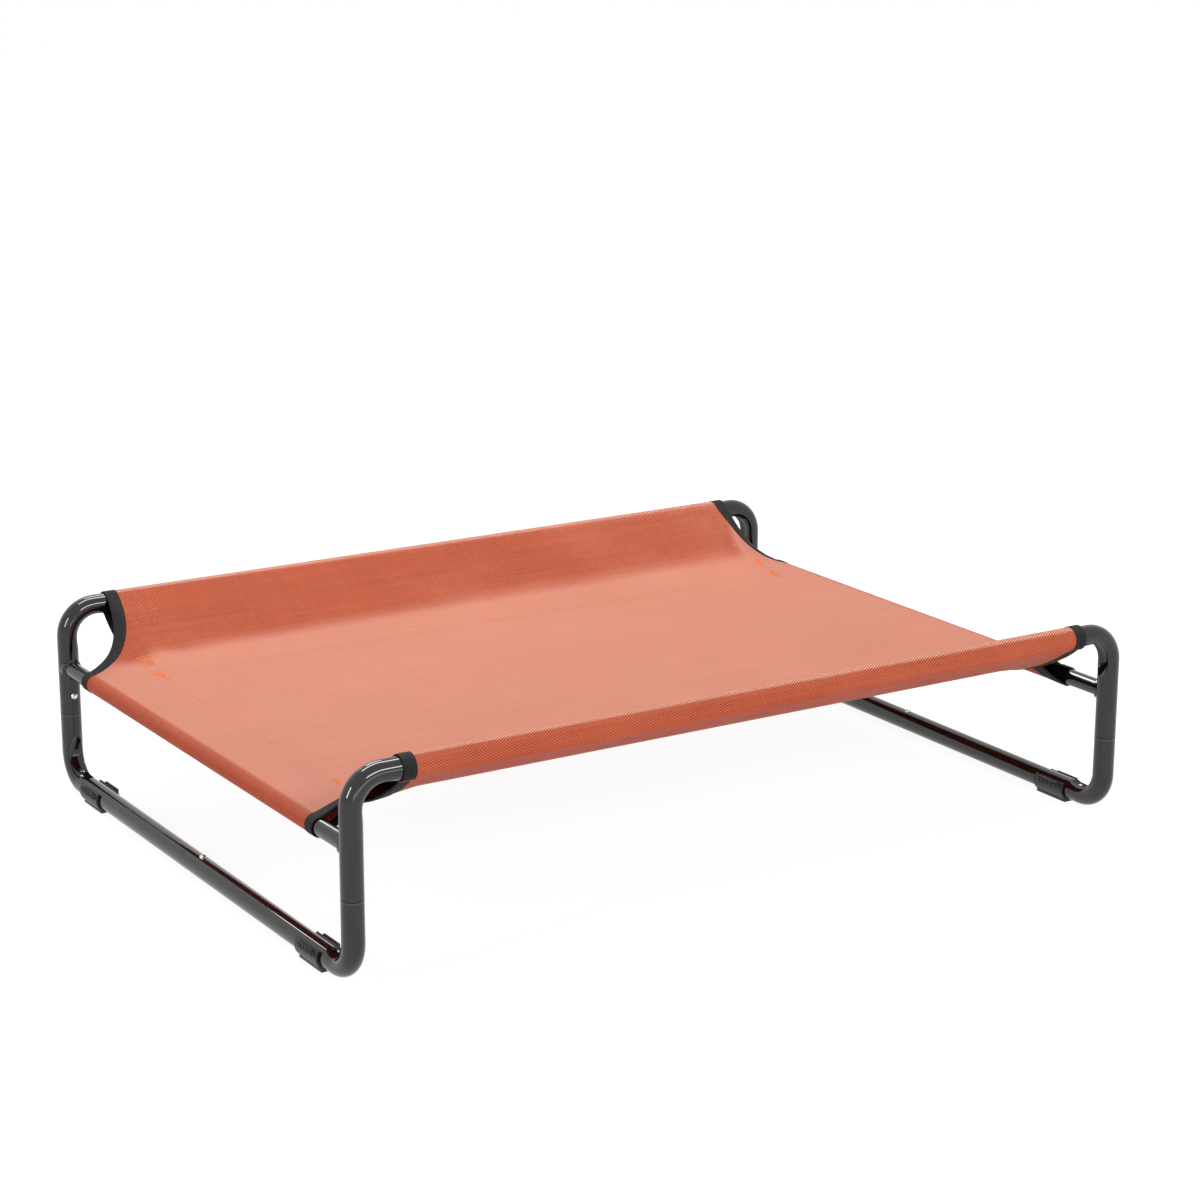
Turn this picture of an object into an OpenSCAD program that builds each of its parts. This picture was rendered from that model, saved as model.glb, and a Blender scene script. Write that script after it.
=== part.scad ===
// Raised dog cot: a plug-together steel tube frame with a woven sling stretched on it.
// X runs along the length, Y along the width, Z up from the floor. All sizes are in millimetres.

/* [Frame] */
// Length between the leg axes, along X
leg_span_x = 888; // [760:2:1000]
// Width between the leg axes, along Y
leg_span_y = 652; // [580:2:740]
// Height of the long rails' axes above the floor
rail_z = 201; // [195:1:230]
// Height of the end crossbars' axes above the floor
crossbar_z = 136; // [130:1:142]
// Height of the joint between the upper and lower part of each leg
leg_joint_z = 86; // [76:1:90]
// How far the joint of each floor bar lies off its middle, along Y
bar_joint_off = 26; // [0:1:40]
// Length of the rail stub on each corner tube, from the leg axis
rail_stub = 120; // [100:1:160]
// Length of each welded crossbar stub, from the leg axis
crossbar_stub = 95; // [80:1:130]

/* [Tubes] */
// Outside diameter of the rails, legs and floor bars
tube_d = 22; // [20:0.5:24]
// Wall of the rails, legs and floor bars
tube_wall = 1; // [0.8:0.1:1.3]
// Outside diameter of the crossbars
crossbar_d = 17; // [15:0.5:19]
// Wall of the crossbars
crossbar_wall = 1; // [0.8:0.1:1.3]
// Radius of the bent corners, at the tube's axis
bend_r = 31; // [28:1:36]
// Depth of the crush dent on the inside of each bend
dent_depth = 6; // [3:0.5:7]
// Height of the weld bead round each crossbar stub
weld_h = 2.4; // [1.5:0.1:3]

/* [Plug joints] */
// Length of each plug-in end
plug_len = 46; // [42:1:60]
// Gap between a plug-in end and the tube round it
plug_gap = 0.15; // [0.1:0.05:0.3]
// Length over which a tube is drawn down to its plug-in end
plug_neck = 5; // [3:0.5:8]
// Open line between two tubes at a joint
joint_gap = 0.4; // [0.2:0.1:1]
// Bevel on the tip of each plug-in end
plug_bevel = 0.6; // [0.3:0.1:0.8]

/* [Snap buttons] */
// Diameter of the snap buttons
button_d = 7; // [5:0.5:8]
// How far a button stands out of the tube
button_out = 2.8; // [2:0.1:3.5]
// Height of a button's domed top
button_dome = 1.6; // [1:0.1:1.9]
// Gap round a button in its holes
button_gap = 0.25; // [0.15:0.05:0.4]
// Width of the collar that keeps a button in, past its side
collar_w = 1.1; // [0.8:0.1:1.4]
// Thickness of the collar
collar_t = 0.8; // [0.6:0.1:1.2]
// Distance of the leg buttons above the leg joint
leg_button_up = 21; // [18:1:26]
// Distance of the floor bar buttons from the bar joint
bar_button_in = 31; // [20:1:36]
// Thickness of the spring strip
strip_t = 0.7; // [0.5:0.1:0.9]
// Width of the spring strip
strip_w = 7; // [5:0.5:8]
// Length of the spring from the button to its bend
spring_len = 27; // [22:1:30]
// Radius of the spring's bend, at the strip's middle
spring_bend_r = 3; // [2:0.5:3.5]

/* [Glides] */
// How far a glide's sole lies below the floor bar
sole_drop = 2.5; // [1.5:0.5:4]
// Wall of a glide round the bar
glide_wall = 2.2; // [1.8:0.1:3]
// Gap between a glide and the bar
glide_gap = 0.2; // [0.1:0.05:0.3]
// Length of a glide along the bar
glide_len = 45; // [38:1:52]
// Distance of each glide's middle from the leg axis
glide_from_leg = 71; // [70:1:100]
// Width of a glide's flat sole
sole_w = 17; // [12:0.5:19]
// Half of the opening over the bar, as an angle from straight up
glide_open = 52; // [45:1:60]
// Length of each raised lip at its foot
lip_len = 38; // [30:1:44]
// Height of each raised lip
lip_h = 8; // [6:0.5:10]
// Thickness of each raised lip
lip_t = 2.2; // [1.8:0.1:3]
// Outward lean of each raised lip
lip_lean = 14; // [5:1:20]
// Grip ribs on each lip
rib_count = 9; // [5:1:11]
// Width of a grip rib
rib_w = 1.4; // [1:0.1:1.8]
// How far a grip rib stands out of its lip
rib_out = 0.6; // [0.4:0.1:0.9]

/* [Sling] */
// Thickness of the woven sling
sling_t = 1; // [0.8:0.1:1.4]
// Gap between the sling and the tubes inside it
sling_gap = 0.3; // [0.2:0.05:0.5]
// Slope of the raised sides where they leave the rails
side_slope = 35; // [32:1:38]
// Distance of the long hem seams from the rail axes
side_hem = 116; // [108:1:130]
// Height of the long hem seams above the lying surface
hem_rise = 6; // [4:0.5:9]
// Distance of the end hem seams from the crossbar axes
end_hem = 56; // [44:1:70]
// Distance of the rail sleeves' mouths from the leg axes
rail_mouth = 44; // [40:1:56]
// Distance of the crossbar sleeves' mouths from the leg axes
crossbar_mouth = 60; // [50:1:66]
// Roundness of the corner cut-outs, where 2 is an ellipse
cut_power = 2.6; // [2:0.1:4]
// Distance over which the sides flatten towards the crossbars
end_ease = 66; // [60:1:80]
// How gently the under layer bends level at the hem
hem_round = 6; // [4:0.5:8]
// How gently the raised sides bend into the lying surface
fold_round = 4; // [3:0.5:6]

/* [Binding] */
// Width of the binding tape
tape_w = 14; // [10:0.5:18]
// Thickness of the binding tape
tape_t = 0.8; // [0.6:0.1:1]
// Gap between the tape and the sling
tape_gap = 0.4; // [0.3:0.05:0.6]

/* [Hidden] */
$fn = 48;
overlap = 0.01;

tube_r = tube_d / 2;
bore_r = tube_r - tube_wall;
plug_r = bore_r - plug_gap;
plug_bore_r = plug_r - tube_wall;
crossbar_r = crossbar_d / 2;
crossbar_bore_r = crossbar_r - crossbar_wall;
leg_x = leg_span_x / 2;
leg_y = leg_span_y / 2;
bar_z = tube_r + sole_drop;

// The dent is pressed in by a ring that shares the bend's centre.
dent_reach = bend_r - tube_r + dent_depth;
dent_hub = 0.4;

button_r = button_d / 2;
button_hole_r = button_r + button_gap;
collar_r = button_r + collar_w;
// A flat collar or strip in a round bore sits where its corners clear the wall.
inner_clear = 0.15;
collar_top = sqrt(pow(plug_bore_r - inner_clear, 2) - pow(collar_r, 2));
collar_foot = collar_top - collar_t;
strip_seat = sqrt(pow(plug_bore_r - inner_clear, 2) - pow(strip_w / 2, 2));
weld_gap = 0.1;

// Ribs stop short of a lip's top and foot.
rib_margin = 1;
glide_in_r = tube_r + glide_gap;
glide_out_r = glide_in_r + glide_wall;

// Middle of the sling's thickness round each tube.
rail_wrap_r = tube_r + sling_gap + sling_t / 2;
crossbar_wrap_r = crossbar_r + sling_gap + sling_t / 2;
bed_z = crossbar_z + crossbar_wrap_r;
layer_step = sling_t + sling_gap;

// The under layer of a raised side is a straight line from the rail's wrap to the hem seam.
side_hem_z = bed_z + hem_rise - layer_step;
side_hem_far = sqrt(pow(side_hem, 2) + pow(rail_z - side_hem_z, 2));
under_slope = atan((rail_z - side_hem_z) / side_hem) - asin(rail_wrap_r / side_hem_far);
end_hem_z = bed_z - layer_step;
end_hem_far = sqrt(pow(end_hem, 2) + pow(end_hem_z - crossbar_z, 2));
end_under_slope = asin(crossbar_wrap_r / end_hem_far) + atan((end_hem_z - crossbar_z) / end_hem);

// Angle from the level at which an end sleeve leaves the panel, just past the crossbar's top.
end_leave = 94;
// Angles left free where a cuff or the tape ends short of the panel and of the crossbar.
cuff_start = 4;
tape_start = 3;
tape_stop = 86;

// Smooth greater of two heights, rounded over w.
function soft_max(a, b, w) = max(a, b) + w * ln(1 + exp(-abs(a - b) / w));
function ease(t) = let (c = min(max(t, 0), 1)) c * c * (3 - 2 * c);
function under_line(u) = side_hem_z + tan(under_slope) * (side_hem - u);
function side_line(u) = rail_z + rail_wrap_r / cos(side_slope) - tan(side_slope) * u;

// Heights of a raised side's two layers over the floor, u in from the rail's axis, away from the ends.
function under_z(u) = soft_max(under_line(u), bed_z - layer_step, hem_round);
function side_z(u) = soft_max(side_line(u), under_z(u) + layer_step, fold_round);

// A side leaves the crossbar at a slope and reaches its full height level, sooner beside the rail.
function rise(t) = let (c = min(max(t, 0), 1)) c + c * c - c * c * c;
function rise_len(u) = rail_mouth + (end_ease - rail_mouth) * ease(u / crossbar_mouth);

// Height of the sling's top layer, u in from the nearer rail and v in from the nearer crossbar.
function sling_z(u, v) = bed_z + (side_z(u) - bed_z) * rise(v / rise_len(u));

// Points of a corner cut-out's edge, from the rail's sleeve at a = 0 to the crossbar's at a = 90.
function cut_u(a) = crossbar_mouth * pow(sin(a), 2 / cut_power);
function cut_v(a) = rail_mouth * pow(cos(a), 2 / cut_power);

// Left-hand edge of the sling, u in from the rail.
function edge_v(u) = u >= crossbar_mouth ? 0
    : rail_mouth * pow(1 - pow(u / crossbar_mouth, cut_power), 1 / cut_power);

// ---- Shared shapes ----

// Numbers from a to b in n steps.
function steps(a, b, n) = [for (i = [0 : n]) a + (b - a) * i / n];

// Band of thickness t along a line of points.
function turn_left(p, q) = let (d = q - p) [-d[1], d[0]] / norm(d);
function bend_side(pts, i) = let (
    a = turn_left(pts[max(i - 1, 0)], pts[max(i - 1, 0) + 1]),
    b = turn_left(pts[min(i, len(pts) - 2)], pts[min(i, len(pts) - 2) + 1])
) (a + b) / (1 + a * b);
module band(pts, t) {
    polygon(concat(
        [for (i = [0 : len(pts) - 1]) pts[i] + bend_side(pts, i) * t / 2],
        [for (i = [len(pts) - 1 : -1 : 0]) pts[i] - bend_side(pts, i) * t / 2]
    ));
}

// ---- Tubes ----

// A rod bent through a right angle about the origin: one leg runs along -Y, the other along -X.
module bent_rod(r, leg_len, run_len) {
    rotate_extrude(angle = 90) translate([bend_r, 0]) circle(r = r);
    translate([bend_r, 0, 0]) rotate([90, 0, 0]) cylinder(h = leg_len, r = r);
    translate([0, bend_r, 0]) rotate([0, -90, 0]) cylinder(h = run_len, r = r);
}

module dent_ring(reach) {
    bead_r = (reach - dent_hub) / 2;
    rotate_extrude() translate([reach - bead_r, 0]) circle(r = bead_r);
}

// A bent tube, open at both ends, with the crush dent on the inside of its bend.
module bent_tube(leg_len, run_len) {
    difference() {
        bent_rod(tube_r, leg_len, run_len);
        dent_ring(dent_reach);
        difference() {
            bent_rod(bore_r, leg_len + 1, run_len + 1);
            dent_ring(dent_reach + tube_wall);
        }
    }
}

// A drawn-down end that plugs into a tube of radius r, from its shoulder at z = 0 up to its tip.
module plug(r, wall, len) {
    out_r = r - wall - plug_gap;
    in_r = out_r - wall;
    difference() {
        union() {
            translate([0, 0, -plug_neck]) cylinder(h = plug_neck + overlap, r = r - wall / 2);
            cylinder(h = len - plug_bevel, r = out_r);
            translate([0, 0, len - plug_bevel]) cylinder(h = plug_bevel, r1 = out_r, r2 = out_r - plug_bevel);
        }
        translate([0, 0, -plug_neck - 1]) cylinder(h = plug_neck + len + 2, r = in_r);
    }
}

// Straight tube along +Z with a plug at each end; its shoulders are len apart.
module plugged_tube(r, wall, len, plug_l) {
    difference() {
        cylinder(h = len, r = r);
        translate([0, 0, -1]) cylinder(h = len + 2, r = r - wall);
    }
    translate([0, 0, len]) plug(r, wall, plug_l);
    mirror([0, 0, 1]) plug(r, wall, plug_l);
}

// Moves children from the front left corner to the one on side sx, sy.
module at_corner(sx, sy) {
    mirror([sx > 0 ? 1 : 0, 0, 0]) mirror([0, sy > 0 ? 1 : 0, 0]) children();
}

// Rail stub, bend and upper leg of the front left corner.
module corner_tube() {
    top_len = rail_z - bend_r - leg_joint_z - joint_gap;
    color("#141416") difference() {
        translate([-leg_x + bend_r, -leg_y, rail_z - bend_r])
            rotate([90, 0, 180]) bent_tube(top_len, rail_stub - joint_gap - bend_r);
        translate([-leg_x, -leg_y, leg_joint_z + leg_button_up])
            rotate([-90, 0, 0]) cylinder(h = tube_d, r = button_hole_r);
    }
}

// Crossbar stub of the front left corner: its end is coped to the leg, with the weld bead round it.
module crossbar_stub() {
    color("#141416") translate([-leg_x, -leg_y, crossbar_z]) difference() {
        union() {
            rotate([-90, 0, 0]) cylinder(h = crossbar_stub - joint_gap, r = crossbar_r);
            intersection() {
                rotate([-90, 0, 0])
                    cylinder(h = tube_r + weld_h, r1 = crossbar_r + tube_r + weld_h, r2 = crossbar_r);
                cylinder(h = 2 * crossbar_d, r = tube_r + weld_h, center = true);
                rotate([-90, 0, 0]) cylinder(h = tube_d, r = crossbar_r + weld_h);
            }
        }
        cylinder(h = 3 * crossbar_d, r = tube_r + weld_gap, center = true);
        rotate([-90, 0, 0]) cylinder(h = crossbar_stub + 1, r = crossbar_bore_r);
        translate([0, -tube_d, 0]) cube(2 * tube_d, center = true);
    }
}

// Lower leg, bend and half floor bar, laid out at the front left corner.
// plugged: the bar ends in a plug instead of an open socket.
module lower_tube(bar_len, plugged) {
    leg_len = leg_joint_z - bar_z - bend_r;
    color("#141416") difference() {
        union() {
            translate([-leg_x, -leg_y + bend_r, bar_z + bend_r])
                rotate([-90, 0, -90]) bent_tube(leg_len, bar_len - bend_r);
            translate([-leg_x, -leg_y, leg_joint_z]) plug(tube_r, tube_wall, plug_len);
            if (plugged) {
                translate([-leg_x, -leg_y + bar_len, bar_z])
                    rotate([-90, 0, 0]) plug(tube_r, tube_wall, plug_len);
            }
        }
        translate([-leg_x, -leg_y, leg_joint_z + leg_button_up])
            rotate([-90, 0, 0]) cylinder(h = tube_d, r = button_hole_r);
        button_at = plugged ? bar_len + bar_button_in : bar_len + joint_gap - bar_button_in;
        translate([-leg_x, -leg_y + button_at, bar_z]) cylinder(h = tube_d, r = button_hole_r);
    }
}

// The two floor bars are alike, turned half a turn: the long half is a socket, the short half plugs in.
module socket_lower_tube() {
    lower_tube(leg_y + bar_joint_off - joint_gap, false);
}

module plug_lower_tube() {
    mirror([0, 1, 0]) lower_tube(leg_y - bar_joint_off, true);
}

module long_rail(sy) {
    rail_len = leg_span_x - 2 * rail_stub;
    color("#141416") translate([-rail_len / 2, sy * leg_y, rail_z])
        rotate([0, 90, 0]) plugged_tube(tube_r, tube_wall, rail_len, plug_len);
}

module end_crossbar(sx) {
    bar_len = leg_span_y - 2 * crossbar_stub;
    color("#141416") translate([sx * leg_x, -bar_len / 2, crossbar_z])
        rotate([-90, 0, 0]) plugged_tube(crossbar_r, crossbar_wall, bar_len, plug_len);
}

// ---- Glides ----

// Section of a glide, with the bar's axis at the origin and the sole below it.
module glide_section() {
    difference() {
        union() {
            circle(r = glide_out_r);
            translate([-sole_w / 2, -bar_z]) square([sole_w, bar_z]);
        }
        circle(r = glide_in_r);
        mouth = 2 * glide_out_r;
        polygon([[0, 0], [mouth * tan(glide_open), mouth], [-mouth * tan(glide_open), mouth]]);
        translate([-glide_out_r, -2 * bar_z]) square([2 * glide_out_r, bar_z]);
    }
}

// One raised lip on the +X side, a trapezoid in side view, with its grip ribs.
module glide_lip() {
    lip_top = lip_len - lip_h;
    translate([glide_out_r - lip_t, 0, 0]) rotate([0, lip_lean, 0]) {
        rotate([90, 0, 90]) linear_extrude(lip_t)
            polygon([[-lip_len / 2, 0], [lip_len / 2, 0], [lip_top / 2, lip_h], [-lip_top / 2, lip_h]]);
        pitch = lip_top / rib_count;
        for (i = [0 : rib_count - 1]) {
            translate([lip_t - overlap, (i - (rib_count - 1) / 2) * pitch - rib_w / 2, rib_margin])
                cube([rib_out + overlap, rib_w, lip_h - 2 * rib_margin]);
        }
    }
}

module glide() {
    color("#1b1b1d") translate([-leg_x, -leg_y + glide_from_leg, bar_z]) difference() {
        union() {
            rotate([90, 0, 0]) linear_extrude(glide_len, center = true) glide_section();
            glide_lip();
            mirror([1, 0, 0]) glide_lip();
        }
        rotate([90, 0, 0]) cylinder(h = 2 * glide_len, r = glide_in_r, center = true);
    }
}

// ---- Snap buttons ----

// A button whose tube axis is at the origin and which points along +Z.
module snap_button() {
    tip = tube_r + button_out;
    dome_r = (pow(button_r, 2) + pow(button_dome, 2)) / (2 * button_dome);
    color("#c9ccd0") {
        translate([0, 0, collar_foot]) cylinder(h = collar_t, r = collar_r);
        translate([0, 0, collar_foot]) cylinder(h = tip - button_dome - collar_foot, r = button_r);
        translate([0, 0, tip - dome_r]) intersection() {
            sphere(r = dome_r);
            translate([0, 0, dome_r - button_dome - overlap]) cylinder(h = dome_r, r = button_r);
        }
    }
}

// Bent strip that pushes a button out: the strip's long leg rests on the far wall of the bore.
// The button points along +Z and the spring's bend lies towards -X.
module button_spring() {
    seat = -strip_seat + strip_t / 2;
    pad = collar_foot - inner_clear - strip_t / 2;
    bend_at = [-spring_len, seat + spring_bend_r];
    rise = pad - bend_at[1];
    reach = spring_len - collar_r;
    lift = atan(rise / reach) - asin(spring_bend_r / sqrt(pow(rise, 2) + pow(reach, 2)));
    line = concat(
        [[collar_r, pad], [-collar_r, pad]],
        [for (a = steps(90 + lift, 270, 14)) bend_at + spring_bend_r * [cos(a), sin(a)]],
        [[collar_r, seat]]
    );
    color("#8f9296") rotate([90, 0, 0]) linear_extrude(strip_w, center = true) band(line, strip_t);
}

// Seats a leg's button or spring, laid out for the front left leg, where the button faces +Y.
module on_leg() {
    translate([-leg_x, -leg_y, leg_joint_z + leg_button_up])
        rotate([-90, 0, 0]) rotate([0, 0, -90]) children();
}

// Seats a floor bar's button or spring, laid out for the left bar, whose plug runs towards -Y.
module on_bar() {
    translate([-leg_x, bar_joint_off - bar_button_in, bar_z]) rotate([0, 0, -90]) children();
}

// ---- Sling ----

rail_leave = rail_wrap_r * sin(side_slope) + sling_gap;
cut_start = asin(pow(rail_leave / crossbar_mouth, cut_power / 2));
cut_rows = [for (a = steps(cut_start, 90, 11)) cut_u(a)];
side_rows = [for (u = steps(crossbar_mouth, side_hem, 6)) if (u > crossbar_mouth) u];
flat_rows = [for (u = steps(side_hem, leg_y, 5)) if (u > side_hem) u];
half_rows = concat(cut_rows, side_rows, flat_rows);
rows = concat(
    [for (u = half_rows) u - leg_y],
    [for (i = [len(half_rows) - 2 : -1 : 0]) leg_y - half_rows[i]]
);
end_columns = steps(0, max(end_hem, end_ease), 14);

// Points across the sling at height y, from the left edge to the right.
function row_u(y) = leg_y - abs(y);
function row_x(y) = let (e = edge_v(row_u(y)), s = (leg_x - e) / leg_x) concat(
    [for (v = end_columns) -leg_x + e + v * s],
    [0],
    [for (i = [len(end_columns) - 1 : -1 : 0]) leg_x - e - end_columns[i] * s]
);
function row_points(y, side) = [
    for (x = row_x(y)) [x, y, sling_z(row_u(y), leg_x - abs(x)) + side * sling_t / 2]
];

// Closed sheet between two grids of points, each row_len wide and row_n deep, the upper grid first.
module thick_sheet(upper, lower, row_len, row_n) {
    n = row_len * row_n;
    function at(i, j) = i * row_len + j;
    cells = [for (i = [0 : row_n - 2]) for (j = [0 : row_len - 2]) [i, j]];
    top = [for (c = cells) each [
        [at(c[0], c[1]), at(c[0] + 1, c[1]), at(c[0] + 1, c[1] + 1)],
        [at(c[0], c[1]), at(c[0] + 1, c[1] + 1), at(c[0], c[1] + 1)]
    ]];
    under = [for (f = top) [f[0] + n, f[2] + n, f[1] + n]];
    rim = concat(
        [for (j = [0 : row_len - 2]) at(0, j)],
        [for (i = [0 : row_n - 2]) at(i, row_len - 1)],
        [for (j = [row_len - 1 : -1 : 1]) at(row_n - 1, j)],
        [for (i = [row_n - 1 : -1 : 1]) at(i, 0)]
    );
    walls = [for (k = [0 : len(rim) - 1]) let (a = rim[k], b = rim[(k + 1) % len(rim)]) each [
        [a, b, b + n], [a, b + n, a + n]
    ]];
    polyhedron(points = concat(upper, lower), faces = concat(top, under, walls), convexity = 4);
}

module sling_panel() {
    row_len = 2 * len(end_columns) + 1;
    color("#d98d78") thick_sheet(
        [for (y = rows) each row_points(y, 1)],
        [for (y = rows) each row_points(y, -1)],
        row_len, len(rows)
    );
}

// Section of a rail's sleeve: round the rail, then the under layer to the hem. X runs in from the rail.
side_wrap = [for (a = steps(90 - side_slope, 270 - under_slope, 14)) rail_wrap_r * [cos(a), sin(a)]];
side_under = [for (u = steps(side_hem / 2, side_hem, 5)) [u, under_z(u) - rail_z]];
end_wrap = [for (a = steps(end_leave, 270 + end_under_slope, 12)) crossbar_wrap_r * [cos(a), sin(a)]];
// The under layer's corners are cut back from here, clear of the sling where it flattens.
notch_from = 0.6 * crossbar_mouth;

module rail_sleeve_section() {
    band(concat(side_wrap, side_under), sling_t);
}

module end_sleeve_section() {
    band(concat(end_wrap, [[end_hem, end_hem_z - crossbar_z]]), sling_t);
}

module rail_sleeve() {
    sleeve_len = leg_span_x - 2 * rail_mouth;
    color("#c4674c") difference() {
        translate([0, -leg_y, rail_z])
            rotate([90, 0, 90]) linear_extrude(sleeve_len, center = true) rail_sleeve_section();
        for (sx = [-1, 1]) translate([sx * leg_x, -leg_y + notch_from + side_hem / 2, rail_z])
            cube([2 * end_ease, side_hem, rail_z], center = true);
    }
}

module end_sleeve() {
    sleeve_len = leg_span_y - 2 * crossbar_mouth;
    color("#c4674c") translate([-leg_x, 0, crossbar_z])
        rotate([90, 0, 0]) linear_extrude(sleeve_len, center = true) end_sleeve_section();
}

// ---- Binding ----

// Tape along the front left cut-out: a cuff round each sleeve's mouth and a strip along the edge between.
module binding() {
    rail_cuff_r = rail_wrap_r + sling_t / 2 + tape_gap + tape_t / 2;
    crossbar_cuff_r = crossbar_wrap_r + sling_t / 2 + tape_gap + tape_t / 2;
    lift = sling_t / 2 + tape_gap;
    bends = steps(cut_start + tape_start, tape_stop, 20);
    widths = steps(tape_w, 0, 4);
    function edge_point(a) = [cut_v(a), cut_u(a)];
    function edge_out(a) = let (d = edge_point(a + 0.5) - edge_point(a - 0.5)) [d[1], -d[0]] / norm(d);
    function tape_point(a, w, up) = let (p = edge_point(a) + edge_out(a) * w)
        [-leg_x + p[0], -leg_y + p[1], sling_z(p[1], p[0]) + lift + up];
    color("#1c1c1e") {
        translate([-leg_x + rail_mouth, -leg_y, rail_z]) rotate([90, 0, 90]) linear_extrude(tape_w)
            band([for (a = steps(90 - side_slope + cuff_start, 270 - under_slope, 14))
                rail_cuff_r * [cos(a), sin(a)]], tape_t);
        translate([-leg_x, -leg_y + crossbar_mouth, crossbar_z])
            rotate([-90, 0, 0]) mirror([0, 1, 0]) linear_extrude(tape_w)
            band([for (a = steps(end_leave, 270 + end_under_slope, 12))
                crossbar_cuff_r * [cos(a), sin(a)]], tape_t);
        thick_sheet(
            [for (w = widths) each [for (a = bends) tape_point(a, w, tape_t)]],
            [for (w = widths) each [for (a = bends) tape_point(a, w, 0)]],
            len(bends), len(widths)
        );
    }
}

corner_tube();  // front_left_corner_tube
at_corner(-1, 1) corner_tube();  // back_left_corner_tube
at_corner(1, -1) corner_tube();  // front_right_corner_tube
at_corner(1, 1) corner_tube();  // back_right_corner_tube
crossbar_stub();  // front_left_crossbar_stub
at_corner(-1, 1) crossbar_stub();  // back_left_crossbar_stub
at_corner(1, -1) crossbar_stub();  // front_right_crossbar_stub
at_corner(1, 1) crossbar_stub();  // back_right_crossbar_stub
long_rail(-1);  // front_rail
long_rail(1);  // back_rail
end_crossbar(-1);  // left_crossbar
end_crossbar(1);  // right_crossbar
socket_lower_tube();  // front_left_lower_tube
plug_lower_tube();  // back_left_lower_tube
rotate([0, 0, 180]) plug_lower_tube();  // front_right_lower_tube
rotate([0, 0, 180]) socket_lower_tube();  // back_right_lower_tube
glide();  // front_left_glide
at_corner(-1, 1) glide();  // back_left_glide
at_corner(1, -1) glide();  // front_right_glide
at_corner(1, 1) glide();  // back_right_glide
on_leg() snap_button();  // front_left_snap_button
at_corner(-1, 1) on_leg() snap_button();  // back_left_snap_button
at_corner(1, -1) on_leg() snap_button();  // front_right_snap_button
at_corner(1, 1) on_leg() snap_button();  // back_right_snap_button
on_bar() snap_button();  // left_bar_snap_button
rotate([0, 0, 180]) on_bar() snap_button();  // right_bar_snap_button
on_leg() button_spring();  // front_left_button_spring
at_corner(-1, 1) on_leg() button_spring();  // back_left_button_spring
at_corner(1, -1) on_leg() button_spring();  // front_right_button_spring
at_corner(1, 1) on_leg() button_spring();  // back_right_button_spring
on_bar() button_spring();  // left_bar_button_spring
rotate([0, 0, 180]) on_bar() button_spring();  // right_bar_button_spring
sling_panel();
rail_sleeve();  // front_sleeve
at_corner(-1, 1) rail_sleeve();  // back_sleeve
end_sleeve();  // left_sleeve
at_corner(1, -1) end_sleeve();  // right_sleeve
binding();  // front_left_binding
at_corner(-1, 1) binding();  // back_left_binding
at_corner(1, -1) binding();  // front_right_binding
at_corner(1, 1) binding();  // back_right_binding
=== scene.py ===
"""Raised dog bed: the sewn sling with its tape and stitching, and the finishes of its steel frame.

Everything is in metres with Z up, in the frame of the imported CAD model. The tubes, glides, buttons
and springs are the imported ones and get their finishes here. The woven sling, which is one cut sheet
rolled round the rails and crossbars, and the tape on its corner cut-outs are built here.
"""
import math

import bmesh
import bpy
import numpy as np
from mathutils import Matrix, Vector

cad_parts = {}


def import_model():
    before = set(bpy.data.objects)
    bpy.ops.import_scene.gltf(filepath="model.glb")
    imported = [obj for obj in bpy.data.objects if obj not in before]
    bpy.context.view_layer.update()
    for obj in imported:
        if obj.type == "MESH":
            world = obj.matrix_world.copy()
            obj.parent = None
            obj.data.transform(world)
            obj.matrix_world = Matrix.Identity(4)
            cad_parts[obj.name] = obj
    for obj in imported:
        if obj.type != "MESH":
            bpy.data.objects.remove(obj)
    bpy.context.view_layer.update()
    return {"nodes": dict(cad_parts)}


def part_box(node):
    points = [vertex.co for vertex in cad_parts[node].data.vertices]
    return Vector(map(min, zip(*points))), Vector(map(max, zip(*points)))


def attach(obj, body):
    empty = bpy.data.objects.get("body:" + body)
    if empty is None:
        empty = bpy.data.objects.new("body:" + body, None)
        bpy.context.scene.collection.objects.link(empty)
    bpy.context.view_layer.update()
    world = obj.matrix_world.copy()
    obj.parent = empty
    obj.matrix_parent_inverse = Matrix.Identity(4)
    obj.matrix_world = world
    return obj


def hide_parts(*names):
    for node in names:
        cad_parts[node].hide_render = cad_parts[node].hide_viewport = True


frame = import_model()


# ---- Sizes taken from the frame ----

def middle_of(node):
    low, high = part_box(node)
    return (low + high) / 2


def reach_of(node):
    low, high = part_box(node)
    return high - low


LEG_X = -middle_of("left_crossbar").x
LEG_Y = -middle_of("front_rail").y
RAIL_Z = middle_of("front_rail").z
TUBE_R = reach_of("front_rail").z / 2
CROSSBAR_Z = middle_of("left_crossbar").z
CROSSBAR_R = reach_of("left_crossbar").z / 2
RAIL_MOUTH = LEG_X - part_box("front_sleeve")[1].x
CROSSBAR_MOUTH = LEG_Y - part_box("left_sleeve")[1].y
LEG_JOINT_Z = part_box("front_left_corner_tube")[0].z
# The long hems are sewn a little further in than the sleeves' solids reach.
SIDE_HEM = round(LEG_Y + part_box("front_sleeve")[1].y, 3) + 0.012
END_HEM = round(LEG_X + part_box("left_sleeve")[1].x, 3)
BODY = "frame"


# ---- Sizes of the sling and its tape ----

CLOTH_T = 0.0009
CLOTH_OFF = 0.0008  # from a tube's face to the middle of the cloth on it
LAYER = 0.0013  # from one layer of cloth down to the next
RAIL_WRAP = TUBE_R + CLOTH_OFF
BAR_WRAP = CROSSBAR_R + CLOTH_OFF
BED_Z = CROSSBAR_Z + BAR_WRAP

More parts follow.
